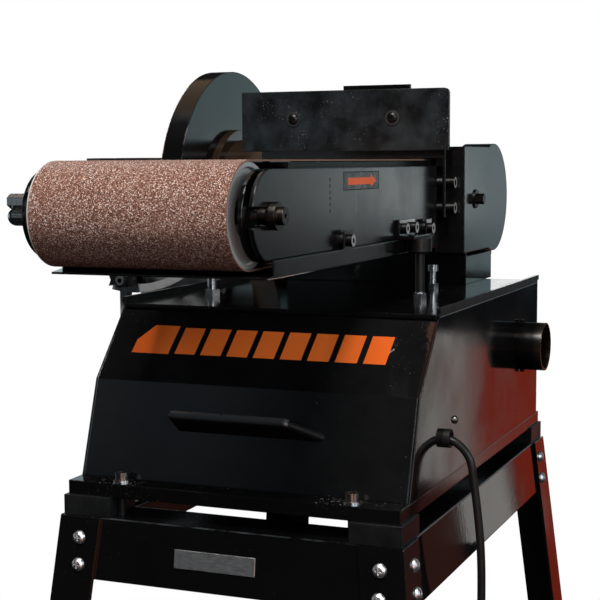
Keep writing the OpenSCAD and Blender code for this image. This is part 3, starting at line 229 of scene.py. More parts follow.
def both(tree, a, b):
    return calc(tree, "MULTIPLY", a, b)


def either(tree, a, b):
    return calc(tree, "MAXIMUM", a, b)


def outside(tree, mask):
    return calc(tree, "SUBTRACT", 1.0, mask)


def within(tree, value, limits):
    return both(tree, above(tree, value, limits[0]), below(tree, value, limits[1]))


def window(tree, a, a_limits, b, b_limits):
    return both(tree, within(tree, a, a_limits), within(tree, b, b_limits))


def offset(tree, value, middle):
    """The distance of a coordinate from a place."""
    return calc(tree, "ABSOLUTE", calc(tree, "SUBTRACT", value, middle))


def squares(tree, a, b):
    return calc(tree, "ADD", calc(tree, "MULTIPLY", a, a), calc(tree, "MULTIPLY", b, b))


def faces_right(tree):
    return above(tree, normal(tree, "True Normal")[0], FACE_LIMIT)


def faces_up(tree):
    return above(tree, normal(tree, "True Normal")[2], FACE_LIMIT)


def overprint(m, mask, color):
    """Lays a flat colour over a finish where the mask is 1."""
    tree = m.node_tree
    target = tree.nodes["Principled BSDF"].inputs["Base Color"]
    tree.links.new(blend_color(tree, mask, target.links[0].from_socket, color), target)


def two_tone(m, mask, color, rough, metallic, spec=0.5):
    """Another finish on the same piece, where the mask is 1."""
    tree = m.node_tree
    surface = tree.nodes["Material Output"].inputs[0]
    where = put(tree, "ShaderNodeTexCoord").outputs["Object"]
    tone = blend_color(tree, noise(tree, where, 180, 3), shaded(color, 0.75), color)
    sheen = span(tree, noise(tree, where, 90, 3), 0.3, 0.7, rough - 0.05, rough + 0.1)
    second = put(tree, "ShaderNodeBsdfPrincipled", {
        "Base Color": tone, "Roughness": sheen, "Metallic": metallic, "Specular IOR Level": spec})
    mix = put(tree, "ShaderNodeMixShader", {
        0: mask, 1: surface.links[0].from_socket, 2: second.outputs[0]})
    tree.links.new(mix.outputs[0], surface)


# Finishes

DUST = (0.30, 0.29, 0.28)
DUST_GAIN = 4.0
RINGS_PER_M = 9000.0
GRAINS_PER_M = 1850.0
FINES_PER_M = 3400.0
GRAIN_TONES = [
    (0.0, (0.018, 0.006, 0.004)), (0.30, (0.086, 0.027, 0.016)), (0.62, (0.210, 0.082, 0.052)),
    (0.82, (0.43, 0.26, 0.20)), (1.0, (1.0, 0.91, 0.87))]
GRAIN_WORN = (0.21, 0.085, 0.054)
CLOTH_EDGE = (0.26, 0.15, 0.11)
CLOTH_RIM = (0.58, 0.57, 0.56)
CLOTH_RIM_X = (BELT_LEFT_X - 0.0003, BELT_LEFT_X + 0.0009)


def paint(name, deep, light, rough, dust=0.12, peel=0.04, edge=0.0014, smear_to=0.07, grain=9,
          speck=0.73, wall=0.35):
    """Gloss paint on sheet metal: cloudy depth, orange peel, faint wipe marks and a little dust.

    A lower speck gives more specks of dust, and wall is the share of them on upright faces.
    """
    m, tree, b, where = start(name, deep, rough)
    cloud = noise(tree, where, grain, 5)
    base = blend_color(tree, span(tree, cloud, 0.35, 0.7, 0, 1), deep, light)
    specks = span(tree, noise(tree, where, 620, 1, 0.5), speck, speck + 0.06, 0, 1)
    patch = span(tree, noise(tree, where, 22, 3), 0.5, 0.75, 0, dust)
    flat = span(tree, normal(tree, "Normal")[2], 0.0, FACE_LIMIT, wall, 1)
    grey = both(tree, both(tree, specks, patch), calc(tree, "MULTIPLY", flat, DUST_GAIN))
    tree.links.new(blend_color(tree, grey, base, DUST), b.inputs["Base Color"])
    smear = span(tree, noise(tree, where, 14, 5), 0.35, 0.75, rough - 0.02, rough + smear_to)
    tree.links.new(smear, b.inputs["Roughness"])
    bump(tree, b, noise(tree, where, 260, 2, 0.5), peel, 0.0004, edge)
    return m


def metal(name, color, rough, grain=(300, 300, 30), edge=0.0002, metallic=1.0):
    """Bare or plated steel: drawn grain, uneven sheen and a few dull spots."""
    m, tree, b, where = start(name, color, rough, metal=metallic)
    drawn = put(tree, "ShaderNodeMapping", {"Vector": where, "Scale": grain}).outputs[0]
    lines = noise(tree, drawn, 8, 4)
    spots = span(tree, noise(tree, where, 160, 3), 0.5, 0.8, 0, 0.7)
    tree.links.new(blend_color(tree, spots, color, shaded(color, 0.55)), b.inputs["Base Color"])
    sheen = span(tree, lines, 0.3, 0.7, rough - 0.07, rough + 0.12)
    tree.links.new(sheen, b.inputs["Roughness"])
    bump(tree, b, lines, 0.08, 0.0002, edge)
    return m


def turned(name, color, rough, y0, z0, metallic=1.0):
    """Aluminium turned on a lathe: fine rings round the axis along X."""
    m, tree, b, where = start(name, color, rough, metal=metallic)
    x, y, z = split(tree, where)
    dy = calc(tree, "SUBTRACT", y, y0)
    dz = calc(tree, "SUBTRACT", z, z0)
    radius = calc(tree, "SQRT", squares(tree, dy, dz))
    along = calc(tree, "ADD", radius, calc(tree, "MULTIPLY", x, 0.7))
    rings = calc(tree, "SINE", calc(tree, "MULTIPLY", along, RINGS_PER_M))
    smear = noise(tree, where, 40, 3)
    stain = span(tree, smear, 0.4, 0.8, 0, 0.5)
    tree.links.new(blend_color(tree, stain, color, shaded(color, 0.7)), b.inputs["Base Color"])
    sheen = span(tree, smear, 0.3, 0.7, rough - 0.06, rough + 0.1)
    tree.links.new(sheen, b.inputs["Roughness"])
    bump(tree, b, rings, 0.12, 0.0001)
    return m


def grit(name):
    """Coated abrasive: packed brown grains, some of them bright, and pale cloth at the edges."""
    m, tree, b, where = start(name, (0.22, 0.10, 0.07), 0.75, spec=0.3)
    cells, fines = (
        put(tree, "ShaderNodeTexVoronoi", {"Vector": where, "Scale": scale, "Randomness": 1.0})
        for scale in (GRAINS_PER_M, FINES_PER_M))
    shade = put(tree, "ShaderNodeSeparateColor", {0: cells.outputs["Color"]})
    ramp = put(tree, "ShaderNodeValToRGB", {0: shade.outputs[0]})
    marks = ramp.color_ramp.elements
    for mark, (at, color) in zip(marks, (GRAIN_TONES[0], GRAIN_TONES[-1])):
        mark.position = at
        mark.color = (*color, 1)
    for at, color in GRAIN_TONES[1:-1]:
        marks.new(at).color = (*color, 1)
    patch = span(tree, noise(tree, where, 18, 4), 0.3, 0.75, 0, 0.3)
    tone = blend_color(tree, patch, ramp.outputs[0], GRAIN_WORN)
    sideways = calc(tree, "ABSOLUTE", normal(tree, "True Normal")[0])
    tone = blend_color(tree, above(tree, sideways, FACE_LIMIT), tone, CLOTH_EDGE)
    rim = within(tree, split(tree, where)[0], CLOTH_RIM_X)
    tree.links.new(blend_color(tree, rim, tone, CLOTH_RIM), b.inputs["Base Color"])
    sheen = span(tree, shade.outputs[1], 0.0, 1.0, 0.45, 0.9)
    tree.links.new(sheen, b.inputs["Roughness"])
    between = calc(tree, "MULTIPLY", fines.outputs["Distance"], 0.6)
    height = calc(tree, "ADD", cells.outputs["Distance"], between)
    bump(tree, b, height, 0.8, 0.0006, edge=0.0003)
    return m


def plain(name, color, rough, grain=700, strength=0.08, depth=0.0002, coat=0.0, vary=0.25,
          spec=0.5):
    """Rubber or moulded plastic: fine texture and slightly uneven colour and sheen."""
    m, tree, b, where = start(name, color, rough, coat=coat, spec=spec)
    cloud = noise(tree, where, 35, 4)
    pale = tuple(min(1, c * (1 + 2 * vary) + 0.001) for c in color)
    tone = span(tree, cloud, 0.35, 0.75, 0, 1)
    tree.links.new(blend_color(tree, tone, color, pale), b.inputs["Base Color"])
    sheen = span(tree, cloud, 0.3, 0.7, rough - 0.05, rough + 0.08)
    tree.links.new(sheen, b.inputs["Roughness"])
    bump(tree, b, noise(tree, where, grain, 3), strength, depth)
    return m


make_camera()
make_world()

DEEP = (0.0022, 0.0022, 0.0024)
SOFT = (0.0038, 0.0038, 0.0041)
BLACK = paint("black_paint", DEEP, SOFT, 0.08)
SLATE = paint("slate_paint", DEEP, SOFT, 0.15, dust=0.05)
COVER = paint("cover_paint", DEEP, SOFT, 0.20, dust=0.05)
PANEL = paint("panel_paint", (0.0034, 0.0035, 0.0039), (0.0058, 0.0062, 0.0067), 0.03,
              smear_to=0.02, grain=26)
SIDE = paint("side_paint", DEEP, SOFT, 0.09)
HOOD = paint("hood_paint", DEEP, SOFT, 0.16, edge=0.0035)
LID = paint("lid_paint", DEEP, SOFT, 0.12, dust=0.45, edge=0.0016, speck=0.70)
PAN = paint("pan_paint", DEEP, (0.004, 0.004, 0.004), 0.12, dust=1.0, speck=0.66, wall=0.04)
# Work stop: its pale blue-grey clouds are painted reflections of soft light, with dust on top
STOP = paint("stop_paint_and_painted_reflections", (0.0016, 0.0020, 0.0023), (0.0165, 0.0205, 0.0235), 0.20, dust=0.30,
             smear_to=0.25, grain=48, speck=0.68, wall=1.0)
# Drive housing: dark brown paint whose warm tint also stands in for a painted reflection of warm
# light
BRONZE_AND_WARM_REFLECTION = paint("brown_paint_and_painted_reflection", (0.011, 0.0066, 0.0042), (0.022, 0.0138, 0.0090), 0.15)
RAIL = paint("rail_paint", DEEP, SOFT, 0.05, smear_to=0.02)
END_RAIL = paint("end_rail_paint", DEEP, SOFT, 0.08)
MOTOR = paint("motor_paint", (0.010, 0.011, 0.012), (0.016, 0.018, 0.020), 0.35)
BRACKET = metal("bracket_steel", (0.40, 0.42, 0.44), 0.34, edge=0.0010, metallic=0.4)
ZINC = metal("zinc", (0.70, 0.71, 0.73), 0.36, edge=0.0005)
OXIDE = metal("black_oxide", (0.040, 0.041, 0.042), 0.34, edge=0.0004)
AXLE = metal("axle_steel", (0.065, 0.060, 0.055), 0.30, edge=0.0005)
TRACK = metal("tracking_steel", (0.50, 0.50, 0.51), 0.17, edge=0.0006)
STEEL = metal("bright_steel", (0.42, 0.42, 0.43), 0.32, edge=0.0005)
DARK_STEEL = metal("rolled_steel", (0.030, 0.030, 0.031), 0.40)
POSTS = metal("post_zinc", (0.46, 0.47, 0.49), 0.22)
SCREWS = metal("cap_screws", (0.20, 0.19, 0.18), 0.30)
PLATE = metal("plate_aluminium", (0.78, 0.79, 0.80), 0.34, grain=(20, 300, 300))
ALLOY_FRONT = turned("idler_alloy", (0.44, 0.45, 0.45), 0.44, IDLER_Y, AXIS_Z, metallic=0.25)
ALLOY_REAR = turned("drive_alloy", (0.62, 0.63, 0.64), 0.34, SPINDLE_Y, AXIS_Z)
GRIT = grit("abrasive_grains")
RUBBER = plain("rubber", (0.0050, 0.0052, 0.0055), 0.50, spec=0.3)
SHEATH = plain("lead_sheath", (0.006, 0.006, 0.006), 0.34, grain=500, strength=0.05, spec=0.25)
PADS = plain("pad_rubber", (0.0034, 0.0038, 0.0042), 0.36, grain=250, strength=0.25, vary=0.9,
             spec=0.38)
PLUG = plain("plug_rubber", (0.006, 0.006, 0.006), 0.45)
PLASTIC = plain("black_plastic", (0.0022, 0.0022, 0.0022), 0.36, grain=900, strength=0.12,
                spec=0.35)
PORT = plain("port_plastic", (0.0010, 0.0010, 0.0010), 0.26, grain=900, strength=0.06, spec=0.08)
KNOB = plain("knob_plastic", (0.003, 0.003, 0.003), 0.32, grain=900, strength=0.12)
GREEN = plain("green_plastic", (0.03, 0.30, 0.09), 0.28, coat=0.3)
RED = plain("red_plastic", (0.50, 0.02, 0.02), 0.28, coat=0.3)
CAST = plain("cast_paint", (0.006, 0.006, 0.007), 0.40, grain=500, strength=0.25, depth=0.0004)


# Plain graphics on the front panel and the side cover

ORANGE = (0.92, 0.190, 0.032)
ORANGE_PAINTED_SHADE = (0.515, 0.090, 0.014)
STRIPE_LEVEL = 0.7500
STRIPE_LEAN = 0.12
STRIPE_PITCH = 0.0228
STRIPE_SHARE = 0.78
STRIPES_X = (-0.0735, 0.1085)
STRIPES_Z = (0.7400, 0.7590)
BLOCK_X = (-0.1120, -0.0790)
BLOCK_Z = (0.7395, 0.7600)
BLOCK_CORNER = 0.1110
# Where the orange is darkened as painted shade, outside the arm's shadow
PAINTED_SHADE_LEFT_X = (-0.082, -0.112)
PAINTED_SHADE_RIGHT_X = (0.050, 0.085)
LOWER_ROUGHER = 0.15

LABEL_Y = (-0.155, -0.075)
LABEL_Z = (0.870, 0.884)
FIELD_Y = (-0.1538, -0.0762)
FIELD_Z = (0.8706, 0.8834)
SHAFT_Y = (-0.145, -0.094)
SHAFT_Z = (0.8740, 0.8793)
HEAD_Y = (-0.094, -0.082)
HEAD_Z = 0.87665
HEAD_SLOPE = 0.425
SCRATCH_Y = (-0.1284, -0.1277)
SCRATCH_Z = (0.853, 0.870)
PUNCH_Y = (-0.1835, -0.1819)
PUNCH_Z = (0.8536, 0.882)
PUNCHES_PER_M = 220.0
PUNCH_SHARE = 0.55


def print_panel():
    """Orange stripes in place of lettering, darkened towards both ends as painted shade where the
    arm casts no shadow, and a duller slope below the knee.
    """
    tree, x, _, z = tree_of(PANEL)
    rise = calc(tree, "SUBTRACT", z, STRIPE_LEVEL)
    across = calc(tree, "SUBTRACT", x, calc(tree, "MULTIPLY", rise, STRIPE_LEAN))
    from_left = calc(tree, "ADD", across, -STRIPES_X[0])
    step = calc(tree, "FRACT", calc(tree, "MULTIPLY", from_left, 1 / STRIPE_PITCH))
    row = window(tree, across, STRIPES_X, z, STRIPES_Z)
    stripes = both(tree, row, below(tree, step, STRIPE_SHARE))
    corner = above(tree, across, calc(tree, "SUBTRACT", rise, BLOCK_CORNER))
    block = both(tree, window(tree, across, BLOCK_X, z, BLOCK_Z), corner)
    # Painted shade: the orange darkens towards both ends of the row, so the print reads evenly lit
    shade = either(tree, span(tree, x, *PAINTED_SHADE_LEFT_X, 0, 1), span(tree, x, *PAINTED_SHADE_RIGHT_X, 0, 1))
    tone = blend_color(tree, shade, ORANGE, ORANGE_PAINTED_SHADE)
    overprint(PANEL, either(tree, stripes, block), tone)
    target = tree.nodes["Principled BSDF"].inputs["Roughness"]
    duller = calc(tree, "MULTIPLY", below(tree, z, KNEE_Z), LOWER_ROUGHER)
    tree.links.new(calc(tree, "ADD", target.links[0].from_socket, duller), target)


def print_cover():
    """The direction arrow on a small sticker, a row of punch marks and a scratch."""
    tree, _, y, z = tree_of(COVER)
    outer = faces_right(tree)
    scratch = both(tree, window(tree, y, SCRATCH_Y, z, SCRATCH_Z), outer)
    overprint(COVER, scratch, (0.10, 0.105, 0.11))
    label = both(tree, window(tree, y, LABEL_Y, z, LABEL_Z), outer)
    two_tone(COVER, label, (0.002, 0.002, 0.003), 0.50, 0.0, spec=0.12)
    field = both(tree, window(tree, y, FIELD_Y, z, FIELD_Z), outer)
    two_tone(COVER, field, (0.004, 0.008, 0.011), 0.26, 0.0, spec=0.47)
    shaft = window(tree, y, SHAFT_Y, z, SHAFT_Z)
    slope = calc(tree, "MULTIPLY", calc(tree, "SUBTRACT", HEAD_Y[1], y), HEAD_SLOPE)
    head = both(tree, within(tree, y, HEAD_Y), below(tree, offset(tree, z, HEAD_Z), slope))
    arrow = both(tree, either(tree, shaft, head), outer)
    two_tone(COVER, arrow, (0.95, 0.150, 0.040), 0.40, 0.0, spec=0.2)
    step = calc(tree, "FRACT", calc(tree, "MULTIPLY", z, PUNCHES_PER_M))
    dashes = both(tree, window(tree, y, PUNCH_Y, z, PUNCH_Z), below(tree, step, PUNCH_SHARE))
    two_tone(COVER, both(tree, dashes, outer), (0.003, 0.003, 0.003), 0.50, 0.0, spec=0.20)


print_panel()
print_cover()


# Bare metal on black pieces, and edges and ends that differ from the rest of a piece, among them
# painted highlights and painted shade

PLATED = (0.62, 0.63, 0.65)
BRASS = (0.70, 0.62, 0.42)
WASHER_Z = (FLANGE_Z - 0.001, FLANGE_Z + 0.0014)
SHANK_TOP_Z = FLANGE_Z - 0.004
REST_NUT_TOP_Z = LID_Z + 0.0066
SCREW_ENDS_X = REAR_COVER_X - 0.0005
STOP_HEAD_R = 0.0051
CROSS_REACH = 0.0026
CROSS_HALF_W = 0.0007
HOOD_LIP_HIGHLIGHT_Z = (HOOD_LIP_Z - 0.0018, HOOD_LIP_Z + 0.0030)
SIDE_RAIL_HIGHLIGHT_Z = STAND_Z - 0.0014
END_RAIL_HIGHLIGHT_Z = STAND_Z - 0.0011
PORT_HIGHLIGHT_X = (PORT_MOUTH_X, PORT_MOUTH_X + 0.008)
PLUG_PINS_X = PLUG_X - 0.0562
KNOB_WASHER_Y = KNOB_FRONT_Y - 0.0003


def finish_base_screws():
    tree, _, _, z = tree_of(SCREWS)
    two_tone(SCREWS, within(tree, z, WASHER_Z), PLATED, 0.25, 1.0)
    two_tone(SCREWS, below(tree, z, SHANK_TOP_Z), (0.008, 0.008, 0.008), 0.50, 0.0, spec=0.2)


def finish_posts():
    tree, x, _, z = tree_of(POSTS)
    post = both(tree, above(tree, x, REST_POST_X), above(tree, z, REST_NUT_TOP_Z))
    two_tone(POSTS, post, (0.006, 0.0055, 0.005), 0.34, 0.0, spec=0.25)


def finish_arm_screws():
    """Dark heads on the arm's side with light grey end faces, partly bare metal and partly a
    painted highlight, and cross heads on the work stop with painted shade in the cross.
    """
    tree, x, _, z = tree_of(OXIDE)
    high = above(tree, z, STOP_Z)
    heads = both(tree, above(tree, x, COVER_FACE_X), outside(tree, high))
    two_tone(OXIDE, heads, (0.035, 0.035, 0.035), 0.32, 1.0)
    # Painted highlight, partly bare metal: light grey on the heads' right-facing end faces
    highlit_ends = both(tree, both(tree, heads, faces_right(tree)), below(tree, x, SCREW_ENDS_X))
    two_tone(OXIDE, highlit_ends, (0.46, 0.46, 0.44), 0.35, 0.4)
    two_tone(OXIDE, high, (0.13, 0.13, 0.135), 0.40, 1.0)
    for middle in STOP_SCREWS_X:
        dx = offset(tree, x, middle)
        dz = offset(tree, z, BAR_Z)
        head = below(tree, squares(tree, dx, dz), STOP_HEAD_R ** 2)
        two_tone(OXIDE, head, (0.030, 0.030, 0.031), 0.36, 1.0)
        # Painted shade: near black in the cross recess of each stop screw
        near = below(tree, calc(tree, "MAXIMUM", dx, dz), CROSS_REACH)
        cross = both(tree, near, below(tree, calc(tree, "MINIMUM", dx, dz), CROSS_HALF_W))
        two_tone(OXIDE, cross, (0.004, 0.004, 0.004), 0.60, 0.0, spec=0.1)


def finish_hood():
    tree, x, _, z = tree_of(HOOD)
    # Painted highlight: a pale band along the top of the hood's lip, fading downwards
    two_tone(HOOD, span(tree, z, *HOOD_LIP_HIGHLIGHT_Z, 0, 1), (0.048, 0.053, 0.056), 0.32, 0.0)
    two_tone(HOOD, above(tree, x, HOOD_END_X), (0.003, 0.003, 0.003), 0.45, 0.0, spec=0.12)


def finish_rails():
    """A painted highlight along the upper edge, standing in for light caught from above: whole on
    the side rails, broken up by noise on the end rails.
    """
    tree, _, _, z = tree_of(RAIL)
    # Painted highlight: a pale blue-grey line on the side faces just below the rail's top
    edge = both(tree, above(tree, z, SIDE_RAIL_HIGHLIGHT_Z), outside(tree, faces_up(tree)))
    two_tone(RAIL, edge, (0.10, 0.125, 0.14), 0.35, 0.0)
    tree, _, _, z = tree_of(END_RAIL)
    edge = both(tree, above(tree, z, END_RAIL_HIGHLIGHT_Z), outside(tree, faces_up(tree)))
    where = put(tree, "ShaderNodeTexCoord").outputs["Object"]
    broken_highlight = both(tree, edge, span(tree, noise(tree, where, 45, 3), 0.42, 0.62, 0, 1))
    two_tone(END_RAIL, broken_highlight, (0.055, 0.066, 0.073), 0.35, 0.0)


def finish_base_and_fittings():
    """The lid's right hem, the dust port's mouth with a warm painted highlight on a glossier
    finish, the plug's pins and the knob's washer.
    """
    two_tone(LID, faces_right(LID.node_tree), (0.009, 0.011, 0.012), 0.40, 0.0, spec=0.2)
    tree, x, _, _ = tree_of(PORT)
    # Painted highlight: a warm tint, with more gloss, growing towards the port's mouth
    mouth = span(tree, x, *PORT_HIGHLIGHT_X, 0, 1)
    two_tone(PORT, mouth, (0.010, 0.0075, 0.005), 0.22, 0.0, spec=0.55)
    tree, x, _, _ = tree_of(PLUG)
    two_tone(PLUG, below(tree, x, PLUG_PINS_X), BRASS, 0.25, 1.0)
    tree, _, y, _ = tree_of(KNOB)
    two_tone(KNOB, below(tree, y, KNOB_WASHER_Y), PLATED, 0.25, 1.0)


finish_base_screws()
finish_posts()
finish_arm_screws()
finish_hood()
finish_rails()
finish_base_and_fittings()

# Nodes that aren't listed are painted black
FINISH = {
    "foot_pads": RUBBER, "mount_pads": PADS, "stand_bolts": ZINC, "side_rails": RAIL,
    "end_rails": END_RAIL, "base_pan": PAN, "base_screws": SCREWS, "front_panel": PANEL,
    "front_visor": HOOD, "side_panel_right": SIDE, "top_lid": LID, "rest_posts": POSTS,
    "dust_port": PORT, "cable_gland": RUBBER, "power_cord": RUBBER, "cord_coil": RUBBER,
    "mains_plug": PLUG, "switch_box": PLASTIC, "start_button": GREEN, "stop_button": RED,
    "motor_body": MOTOR, "motor_rotor": STEEL, "motor_pulley": STEEL, "v_belt": RUBBER,
    "spindle_bearings": STEEL, "spindle_shaft": STEEL, "spindle_pulley": STEEL,
    "drive_housing": BRONZE_AND_WARM_REFLECTION, "drive_drum": ALLOY_REAR, "sanding_disc": ALLOY_REAR,
    "disc_abrasive": GRIT, "disc_guard": SLATE, "table_bracket": BRACKET, "table_shaft": STEEL,
    "disc_table": CAST, "lock_knob": KNOB, "arm_screws": OXIDE, "side_cover": COVER,
    "rear_cover": SLATE, "work_stop": STOP, "platen": DARK_STEEL, "abrasive_belt": GRIT,
    "idler_axle": AXLE, "tracking_block": TRACK, "idler_bearings": STEEL,
    "idler_drum": ALLOY_FRONT,
}
for name, obj in nodes.items():
    obj.data.materials.clear()
    obj.data.materials.append(FINISH.get(name, BLACK))


# Mains lead: the same route as in the part's source

CORD_D = 0.0064
CORD_Y = -0.1072
CORD_TOP = 0.6786
# From the gland to the floor: x, and the height from the gland's middle
ROUTE = [
    (0.133, 0), (0.1358, -0.00015), (0.1386, -0.00065), (0.144, -0.0025), (0.1487, -0.0056),
    (0.1527, -0.0096), (0.1553, -0.0137), (0.1568, -0.0174), (0.158, -0.0225), (0.159, -0.0305),
    (0.1605, -0.0405), (0.1619, -0.051), (0.1634, -0.064), (0.1649, -0.0795), (0.1659, -0.102),
    (0.166, -0.128), (0.1657, -0.158), (0.1655, -0.192), (0.1655, -0.236), (0.166, -0.285),
    (0.166, -0.335), (0.166, -0.39), (0.166, -0.445), (0.166, -0.495), (0.166, -0.538),
    (0.165, -0.573), (0.162, -0.601), (0.155, -0.625), (0.144, -0.645), (0.13, -0.6608),
    (0.115, -0.6714), (0.101, -0.6753), (0.09, -0.6753), (0.08, -0.6753)]
ROUTE_STEPS = 4
COIL_TURNS = 5
COIL_STEPS = 48
COIL_PITCH = CORD_D + 0.0007
COIL_MEAN_R = 0.036
COIL_HALF_W = COIL_TURNS * COIL_PITCH / 4
COIL_IN = COIL_MEAN_R - COIL_HALF_W
COIL_OUT = COIL_MEAN_R + COIL_HALF_W
COIL_X = 0.060
COIL_Y = CORD_Y + COIL_OUT
COIL_Z = 0.0033
COIL_LEAD_IN = 0.010
CLIMB_TURNS = 0.5
PLUG_Z = 0.012


def spline(points, steps):
    """A smooth curve through the points, with as many steps to each stretch."""
    out = []
    for i in range(len(points) - 1):
        a = Vector(points[max(i - 1, 0)])
        b = Vector(points[i])
        c = Vector(points[i + 1])
        d = Vector(points[min(i + 2, len(points) - 1)])
        for k in range(steps):
            t = k / steps
            out.append(0.5 * (2 * b + (c - a) * t + (2 * a - 5 * b + 4 * c - d) * t * t
                              + (3 * b - a - 3 * c + d) * t ** 3))
    return out + [Vector(points[-1])]


def coil_point(t):
    """A place in the coil after t turns: in along the floor, then out again on top."""
    u = min(max((t - COIL_TURNS / 2 + CLIMB_TURNS / 2) / CLIMB_TURNS, 0), 1)
    r = COIL_IN + COIL_PITCH * abs(t - COIL_TURNS / 2)
    a = 2 * math.pi * t
    climb = COIL_PITCH * u * u * (3 - 2 * u)
    return COIL_X - r * math.sin(a), COIL_Y - r * math.cos(a), COIL_Z + climb


def lead_path():
    hang = [(q.x, CORD_Y, q.y + CORD_TOP) for q in spline(ROUTE, ROUTE_STEPS)]
    coil = [coil_point(i / COIL_STEPS) for i in range(COIL_TURNS * COIL_STEPS + 1)]
    top = COIL_Z + COIL_PITCH
    tail_points = [
        (COIL_X, CORD_Y, top), (COIL_X - 0.0135, CORD_Y, top),
        (COIL_X - 0.027, CORD_Y, (top + PLUG_Z) / 2), (COIL_X - 0.03825, CORD_Y, PLUG_Z),
        (PLUG_X, CORD_Y, PLUG_Z)]
    tail = [tuple(q) for q in spline(tail_points, ROUTE_STEPS)][1:]
    return hang + [(COIL_X + COIL_LEAD_IN, CORD_Y, COIL_Z)] + coil + tail


def make_lead():
    path = lead_path()
    data = bpy.data.curves.new("mains_lead", "CURVE")
    data.dimensions = "3D"
    line = data.splines.new("POLY")
    line.points.add(len(path) - 1)
    for point, q in zip(line.points, path):
        point.co = (*q, 1)
    data.bevel_depth = CORD_D / 2
    data.bevel_resolution = 5
    data.use_fill_caps = True
    obj = bpy.data.objects.new("mains_lead", data)
    scene.collection.objects.link(obj)
    data.materials.append(SHEATH)
    length = sum((Vector(b) - Vector(a)).length for a, b in zip(path, path[1:]))
    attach(obj, "frame")
    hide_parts("power_cord", "cord_coil")
    return obj, length


lead, lead_length = make_lead()


# Light: name, place, target, size, watts and colour

LAMPS = [
    ("key", (0.10, -1.36, 3.00), (-0.02, -0.25, 0.85), (0.9, 0.7), 88, (0.98, 0.925, 0.865)),
    ("front_fill", (1.8, -2.2, 1.5), (0, 0, 0.8), (1.2, 1.6), 29, (0.88, 0.96, 1.0)),
    ("right_fill", (2.7, -0.7, 1.7), (0.1, 0, 0.8), (0.8, 0.8), 22, (0.95, 0.97, 1.0)),
    ("low_warm", (0.9, -1.9, 0.3), (-0.02, -0.29, 0.84), (0.5, 0.4), 2.6, (1.0, 0.33, 0.16)),
    ("kicker", (-2.2, 1.7, 2.5), (-0.1, 0, 0.9), (0.7, 0.7), 16, (0.92, 0.96, 1.0)),
]
# Dim panels that mostly show as reflections in the gloss paint
CARDS = [
    ("housing_warm", (-1.35, 1.1, 3.1), (-1.35, 1.1, 0.9), (0.8, 2.6), 3, (1.0, 0.66, 0.42)),
    ("brow_warm", (-0.335, -0.82, 3.2), (-0.335, -0.82, 0.75), (0.62, 0.75), 1.5,
     (1.0, 0.48, 0.28)),
    ("lip_card", (-1.07, 0.35, 3.1), (-1.07, 0.35, 0.7), (0.34, 1.8), 4.0, (0.84, 0.95, 1.0)),
    ("corner_card", (1.10, 0.50, 3.1), (1.10, 0.50, 0.7), (0.35, 0.35), 2.2, (0.9, 0.97, 1.0)),
    ("stop_card", (-1.65, -3.0, 0.85), (0, 0.1, 0.97), (0.9, 0.5), 0.42, (0.82, 0.95, 1.0)),
    ("panel_card", (-2.15, -3.0, 2.3), (-0.1, -0.2, 0.7), (1.4, 0.9), 0.85, (0.72, 0.90, 1.0)),
    ("wall_near", (0.73, 3.1, 0.76), (0.73, 0, 0.76), (0.55, 0.42), 0.29, (0.70, 0.94, 1.0)),
    ("wall_bright", (1.10, 3.1, 0.83), (1.10, 0, 0.83), (0.22, 0.27), 0.33, (0.95, 1.0, 1.0)),
    ("wall_mid", (1.32, 3.1, 0.83), (1.32, 0, 0.83), (0.21, 0.27), 0.135, (0.86, 0.98, 1.0)),
    ("wall_far", (1.62, 3.1, 0.83), (1.62, 0, 0.83), (0.36, 0.27), 0.105, (0.93, 0.97, 1.0)),
    ("wall_foot", (1.38, 3.1, 0.60), (1.38, 0, 0.60), (0.42, 0.18), 0.045, (0.93, 0.98, 1.0)),
    ("wall_high", (1.12, 3.1, 1.34), (1.12, 0, 1.34), (1.35, 0.72), 2.1, (0.68, 0.95, 1.0)),
    ("floor_warm", (1.07, 3.0, 0.13), (1.07, 0, 0.13), (0.17, 0.47), 0.165, (1.0, 0.965, 0.90)),
    ("floor_red", (0.71, 3.0, -0.06), (0.71, 0, -0.06), (0.51, 0.78), 0.54, (1.0, 0.070, 0.014)),
    ("floor_dark", (1.40, 3.0, -0.28), (1.40, 0, -0.28), (0.46, 0.66), 0.085, (1.0, 0.24, 0.14)),
    ("rear_mid", (-0.70, 3.0, 1.45), (-0.70, 0, 1.45), (0.60, 0.60), 0.50, (0.74, 0.94, 1.0)),
    ("rear_white", (-0.575, 3.0, 1.0), (-0.575, 0, 1.0), (0.42, 0.24), 0.54, (1.0, 1.0, 1.0)),
    ("side_right", (3.6, 0.1, 1.0), (0, 0.1, 0.85), (2.4, 1.3), 6.5, (0.95, 0.98, 1.0)),
    ("side_left", (-3.6, 0.1, 1.0), (0, 0.1, 0.85), (2.4, 1.3), 6.5, (0.95, 0.98, 1.0)),
    ("rear_left", (-2.00, 3.0, 1.20), (-2.00, 0, 1.20), (0.75, 1.0), 1.5, (0.80, 0.96, 1.0)),
]
for item in LAMPS + CARDS:
    area_light(*item)


# Floor and small pieces

FLOOR_R = 0.8
FLOOR_Z = -0.0005
PLATE_AT = (-0.00775, -0.2202, 0.595)
PLATE_SIZE = (0.0665, 0.0010, 0.0142)
PLATE_EDGE = 0.0003
RAIL_LEAN_DEG = -6.7
LIP_EDGE = 0.0004
FRONT_LIP = ((0.0550, 0.1350, 0.8030), (0.0840, 0.1379, 0.8064))
# The rear lip is a dark sheet that stands in for shade under the rear cover
REAR_SHADE_LIP = ((0.0600, 0.2260, 0.7990), (0.0840, 0.2278, 0.8060))
TIE_HALF_L = 0.0025
TIE_T = 0.0010
TIE_HALF_W = COIL_HALF_W + CORD_D / 2 + 0.0008
TIE_HALF_H = COIL_PITCH / 2 + CORD_D / 2 + 0.0006
TIE_POINTS = 40


